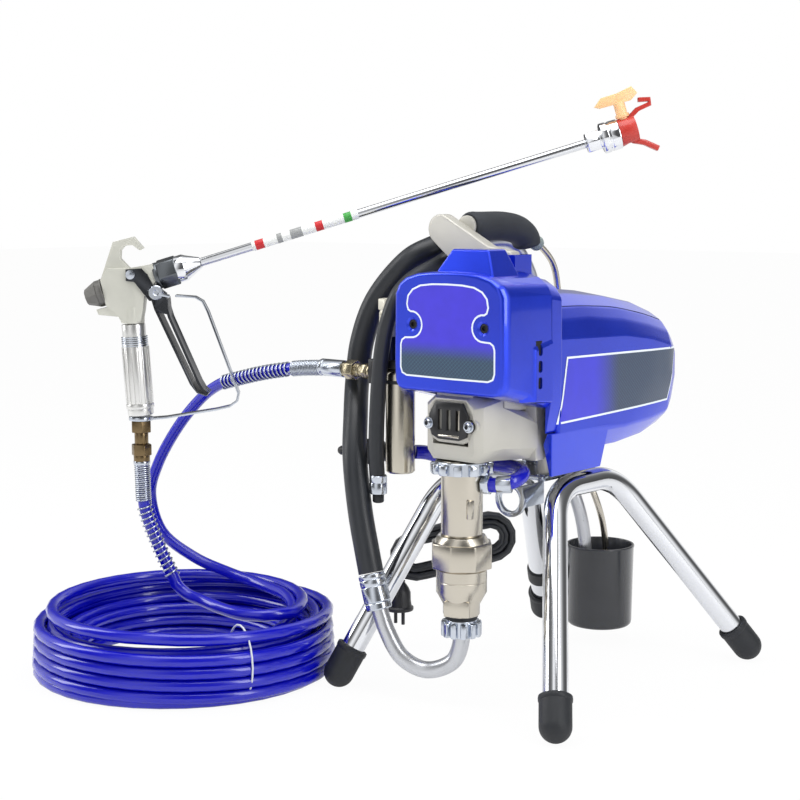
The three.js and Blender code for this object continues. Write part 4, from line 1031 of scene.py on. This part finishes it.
made("prime_body", gathered(rod(10, -130, -116, (1, 0, 0), LEVER, edge=1.2),
                            rod(8.4, -117, -113.4, (1, 0, 0), LEVER)), window_black, "black_plastic",
     stands_for="prime_valve_body")
made("prime_lever", gathered(rod(15, -101, -83, (0, 1, 0), (-145.3, 0, 264), edge=2.2),
                             turned([(0, 198), (4.0, 197.8), (5.4, 195), (5.6, 190), (4.6, 172), (5.6, 150),
                                     (0, 150)], 32, (-1, 0, 0), (0, -92, 260))),
     window_black, "black_plastic", "prime_handle", stands_for="prime_valve_handle")
SHORT = [(21.9, -106.2, 246.5), (40, -99.5, 247), (50, -86, 251), (46, -67, 255), (28, -50, 257),
         (0, -43, 257), (-38, -42, 257),
         (-64, -48, 258), (-78, -63, 263), (-84, -76.7, 267), (-89.2, -85.8, 268)]
short_line = flow(SHORT, 10)
tube("short_hose", short_line, 8, hose_blue, stands_for="pressure_hose", round_=9)
made("short_ferrule", gathered(rod(9.2, 10, 26, short_line[12] - short_line[2], short_line[3], 40, 0.8),
                               nut(11, 0, 9, short_line[6] - short_line[0], short_line[0], 6,
                                   0.8)), zinc, "zinc")
knob = gathered(turned([(0, 19), (15, 18.6), (17.2, 17), (18.2, 12), (18.9, 4), (18.9, 0.4), (0, 0)], 48),
                *ringed(18, lambda: rod(1.6, 2, 15, foot=(17.2, 0, 0), sides=12)))
made("knob", laid(knob, (-1, 0, 0), (-75.4, 30, 350)), window_black, "black_plastic", "knob",
     stands_for="pressure_knob")
made("rocker", soften(copied("power_switch"), 1.0, 30), window_black, "black_plastic", "switch",
     stands_for="power_switch")

# ---- Suction set ----
# A bent pipe under the pump, a thick black rubber hose crimped to it with a zinc ferrule,
# the pale pipe that drops into the cup, and the thin return hose with its steel tube.
pipe_grey = grained("suction_pipe", paint(196, 198, 202), 0.3, 0.75, coarse=30, fine=600, bump=0.05,
                    spread=0.08)
LOWER = [(0, -114, 98), (0, -114, 88), (0, -114, 73), (-9, -117, 49), (-38, -127, 36), (-64, -137, 47),
         (-82, -143, 76), (-91, -146, 102)]
lower_line = flow(LOWER, 10)
tube("lower_pipe", lower_line, 9.3, pipe_grey, stands_for="suction_pipe_lower", round_=10)
AWAY = Vector((-11, 0, 36)).normalized()
ferrule = [(9.4, -3), (13.6, -3), (14.6, -1.6), (14.6, 4), (13.9, 5), (15, 6.4), (15, 22), (14.4, 23),
           (15, 24), (15, 30), (14.4, 31), (15, 32),
           (15, 35.6), (14.2, 37), (13, 37)]
made("suction_ferrule", turned(ferrule, 64, AWAY, (-91, -146, 102)), zinc, "zinc")
hose_rubber = grained("hose_rubber", paint(36, 39, 44), 0.4, coarse=30, fine=420, bump=0.1, spread=0.16,
                      streak=(1, 1, 0.2))
SUCTION = [(-102.1, -146, 138.4), (-108, -145, 158), (-124.5, -139, 205), (-141, -129, 262),
           (-157, -110, 302), (-179, -82, 344),
           (-180, -72, 388), (-168, -60, 434), (-130, -46, 480), (-116, -28, 492), (-113, 0, 498), (-112, 25,
                                                                                                    498)]
tube("suction_rubber", flow(SUCTION, 10), 14, hose_rubber, stands_for="suction_hose", round_=12)
UPPER = [(-111.8, 26, 498), (-105, 62, 499), (-98, 103, 496), (-94, 136, 460), (-93, 150, 400),
         (-92, 158, 310), (-75, 166, 236),
         (-52, 178, 184), (-44, 187, 135), (-43, 190, 24)]
tube("upper_pipe", flow(UPPER, 10), 8, pipe_grey, stands_for="suction_pipe_upper", round_=9)
DRAIN = [(-108, -127, 226), (-111, -127, 270), (-107, -127, 349), (-100, -127, 396), (-91, -125, 428),
         (-88, -116, 446), (-89, -100, 457), (-91, -80, 465), (-90, -50, 475), (-88, -26, 485), (-87, 0, 500),
         (-86, 40, 512), (-86, 90, 511), (-86, 129, 500)]
drain_line = flow(DRAIN, 10)
tube("return_hose", drain_line, 8.7, hose_rubber, stands_for="drain_hose", round_=9)
made("return_ferrule", gathered(turned([(8.7, 224), (9.7, 224.6), (9.9, 226), (9.9, 236), (9.4, 237),
                                        (9.9, 238), (9.9, 244), (9.2, 245)], 48, foot=(-108, -127, 0))),
     zinc, "zinc")
made("return_end", rod(6.4, 214, 225, foot=(-108, -127, 0), edge=2.2), rubber, "rubber")
TUBE = [(-86, 129.9, 499.6), (-86.5, 146, 493), (-88, 176, 470), (-90, 190, 436), (-91, 196, 340),
        (-76, 199, 244), (-44, 208, 184),
        (-39, 224, 135), (-38, 230, 60)]
tube("return_tube", flow(TUBE, 10), 4, nickel, stands_for="drain_tube", round_=7)
collar_grey = grained("end_collar", paint(138, 150, 148), 0.4, coarse=60, fine=800, bump=0.08)
made("return_collar", gathered(rod(8.6, -6, 9, (0, 0.93, -0.37), (-86.1, 134, 498), 40, 1.2),
                               *[rod(9.2, -4 + 3 * k, -2.4 + 3 * k, (0, 0.93, -0.37), (-86.1, 134, 498), 40,
                                     0.5) for k in range(4)]), collar_grey, "black_plastic")

# ---- Drip cup ----
# Thin-walled moulded cup in glossy charcoal plastic, with a rolled rim.
cup_gloss = grained("cup_moulding", paint(48, 50, 54), 0.2, coarse=26, fine=300, bump=0.05, spread=0.2,
                    Coat_Weight=0.3, Coat_Roughness=0.1)
cup = [(0, 20), (35, 20), (37.6, 20.8), (39.6, 23), (40.2, 26), (41.6, 118), (42.3, 119.4), (42.3, 121),
       (41.6, 122), (39.4, 122), (39, 121),
       (38.4, 60), (37.2, 27), (35, 24), (33, 23.4), (0, 23.2)]
made("cup", turned(cup, 80, foot=(-38, 214, 0)), cup_gloss, "cup_plastic", "cup", stands_for="drip_cup")

# ---- Spray gun ----
# Pale cast body with a hanging hook, dark rear cap and trigger, a fluted handle, and a
# bright steel guard strip. It is laid out in its own frame, x along the pole's heading.
GUN = Matrix.Translation((-376, -238.6, 300.4)) @ Matrix.Rotation(YAW, 4, "Z")
BARREL = GUN @ Matrix.Translation((-36.9, 0, 143.2)) @ Matrix.Rotation(-math.radians(17), 4, "Y")
HANDLE = GUN @ Matrix.Rotation(math.radians(-3.66), 4, "Y")
gun_cast = cast("gun_casting", paint(214, 214, 204), 0.42)
made("gun_casting", soften(copied("gun_body"), 1.5, 26, 3), gun_cast, "casting", "gun", stands_for="gun_body")
made("rear_cap", gathered(nut(15.5, -10, -4.2, (1, 0, 0), sides=8, edge=0.9),
                          turned([(15.4, 10), (9, 24), (7.6, 24.4), (0, 24.4)], 8, (-1, 0, 0)),
                          rod(15.9, -4.4, -2.4, (1, 0, 0), edge=0.5)), dark_casting, "dark_metal", "gun",
     stands_for="gun_rear_cap", shift=BARREL, smooth=20)
satin = grained("handle_satin", paint(222, 222, 220), 0.3, 0.85, coarse=50, fine=900, bump=0.06, spread=0.06)
barrel = [rod(14.6, 12, 84, edge=1.0), rod(14.8, 0, 12.5, edge=1.6), rod(16, 8, 14, edge=1.2),
          rod(13.6, 83, 106, edge=0.8)]
flutes = ringed(14, lambda: box(13.6, 16, -1.25, 1.25, 15, 80, 0.8))
made("handle_body", gathered(*barrel, *flutes), satin, "aluminium", "gun", stands_for="gun_handle",
     shift=HANDLE)
made("handle_ring", gathered(*[rod(15.3, 80.6 + 2.4 * k, 82.2 + 2.4 * k, edge=0.5) for k in range(5)]), zinc,
     "zinc", "gun", shift=HANDLE)
bronze = grained("swivel_bronze", paint(122, 104, 76), 0.3, 1.0, coarse=60, fine=800, bump=0.06, spread=0.18)
made("swivel", gathered(nut(12.5, -20, -6.4, edge=0.9, spin=10), rod(8, -34, -19, edge=0.8),
                        nut(12, -47, -34, edge=0.9, spin=24), rod(9.4, -54, -46, edge=0.8)),
     bronze, "brass", stands_for="gun_swivel", shift=GUN)
made("swivel_ring", rod(9.8, -58, -53.6, edge=0.8), zinc, "zinc", shift=GUN)
dark_steel = grained("trigger_steel", paint(62, 64, 68), 0.28, 0.9, coarse=50, fine=700, bump=0.08,
                     spread=0.2)
made("trigger_blade", soften(copied("trigger"), 0.7, 30), dark_steel, "dark_metal", "trigger",
     stands_for="trigger")
LOCK = (22.6, 0, 142.9)
made("lock_disc", gathered(turned([(0, 0), (8.3, 0), (8.3, 2.4), (7.4, 3.4), (3.4, 3.4), (2.6, 2.8),
                                   (0, 2.8)], 40, (0, -1, 0), (22.6, -16.1, 142.9)),
                           ribbon([(26, 141.4), (38.1, 138.7)], 3.6, -19.6,
                                  -16.1)), zinc, "zinc", "trigger_lock", stands_for="trigger_lock", shift=GUN)
made("pivot_screw", gathered(rod(5.4, 15.9, 18.4, (0, -1, 0), (-6.5, 0, 163.1), edge=0.8),
                             rod(3.0, 18, 19.4, (0, -1, 0), (-6.5, 0, 163.1), edge=0.5)),
     zinc, "zinc", "trigger", shift=GUN)
made("guard_strip", soften(copied("trigger_guard"), 0.6, 40), zinc, "zinc", "gun", stands_for="trigger_guard")

# ---- Pole ----
# Chromed extension pole with a hexagon nut and cone at the gun end, a printed paper sleeve
# of plain bands, and a nut at the spray end.
grey_nut = grained("grey_nut", paint(104, 108, 112), 0.3, 0.9, coarse=60, fine=800, bump=0.08, spread=0.15)
made("pole_nut_hex", gathered(nut(18, 64.6, 86, (1, 0, 0), edge=1.4, spin=12),
                              rod(15.4, 59.6, 64.8, (1, 0, 0), edge=1.0)), grey_nut, "zinc", "gun",
     stands_for="pole_nut", shift=BARREL)
made("pole_cone", turned([(0, 85.4), (15.2, 85.4), (15.4, 87), (15.4, 94.6), (14.6, 96), (13.4, 98),
                          (6.4, 113.4), (5.2, 114)], 56, (1, 0, 0)), chrome, "chrome",
     "gun", shift=BARREL)
pole_chrome = grained("pole_chrome", paint(216, 218, 222), 0.12, 1.0, coarse=10, fine=80, bump=0.015,
                      spread=0.04)
made("pole_tube", rod(5, 114.3, 574, (1, 0, 0), sides=48), pole_chrome, "chrome", "gun", stands_for="pole",
     shift=BARREL)
paper = grained("sleeve_paper", paint(232, 234, 232), 0.45, coarse=80, fine=900, bump=0.05, spread=0.05)
sleeve_red = grained("sleeve_red", paint(196, 34, 40), 0.45, coarse=80, fine=900, bump=0.05, spread=0.08)
sleeve_green = grained("sleeve_green", paint(64, 160, 70), 0.45, coarse=80, fine=900, bump=0.05, spread=0.08)
sleeve_grey = grained("sleeve_grey", paint(150, 152, 152), 0.45, coarse=80, fine=900, bump=0.05, spread=0.08)
made("sleeve", rod(5.45, 176, 303, (1, 0, 0), sides=48, edge=0.1), paper, "aluminium", "gun", shift=BARREL)
for name, low, high, finish in (("band_a", 180, 190, sleeve_red), ("band_b", 252, 261, sleeve_red),
                                ("band_c", 286, 295, sleeve_green),
                                ("band_d", 206, 212, sleeve_grey), ("band_e", 222, 236, sleeve_grey)):
    made("sleeve_" + name, rod(5.6, low, high, (1, 0, 0), sides=48, edge=0.1), finish, "aluminium", "gun",
         shift=BARREL)
made("tip_nut_body", gathered(nut(12.5, 574.4, 590, (1, 0, 0), edge=1.0), rod(11, 589, 593, (1, 0, 0)),
                              nut(17.5, 592.4, 600, (1, 0, 0), sides=12, edge=0.9),
                              rod(16.4, 599, 603, (1, 0, 0)), nut(17.5, 602.4, 612.8, (1, 0, 0), sides=12,
                                                                  edge=1.0, spin=15)), chrome, "chrome", "gun",
     stands_for="tip_nut", shift=BARREL)

# ---- Tip guard and spray tip ----
# A red moulded guard with swept prongs turns on the pole's end, and a peach moulded tip
# with a winged handle turns across it.
red = grained("guard_red", paint(188, 50, 40), 0.34, coarse=60, fine=800, bump=0.06, spread=0.12,
              Coat_Weight=0.2)
made("guard_body", soften(copied("tip_guard"), 0.8, 30), red, "red_plastic", "guard", stands_for="tip_guard")
peach = grained("tip_peach", paint(250, 198, 146), 0.4, coarse=60, fine=800, bump=0.06, spread=0.06,
                Subsurface_Weight=0.15)
made("tip_body", soften(copied("spray_tip"), 0.9, 30), peach, "peach_plastic", "tip", stands_for="spray_tip")
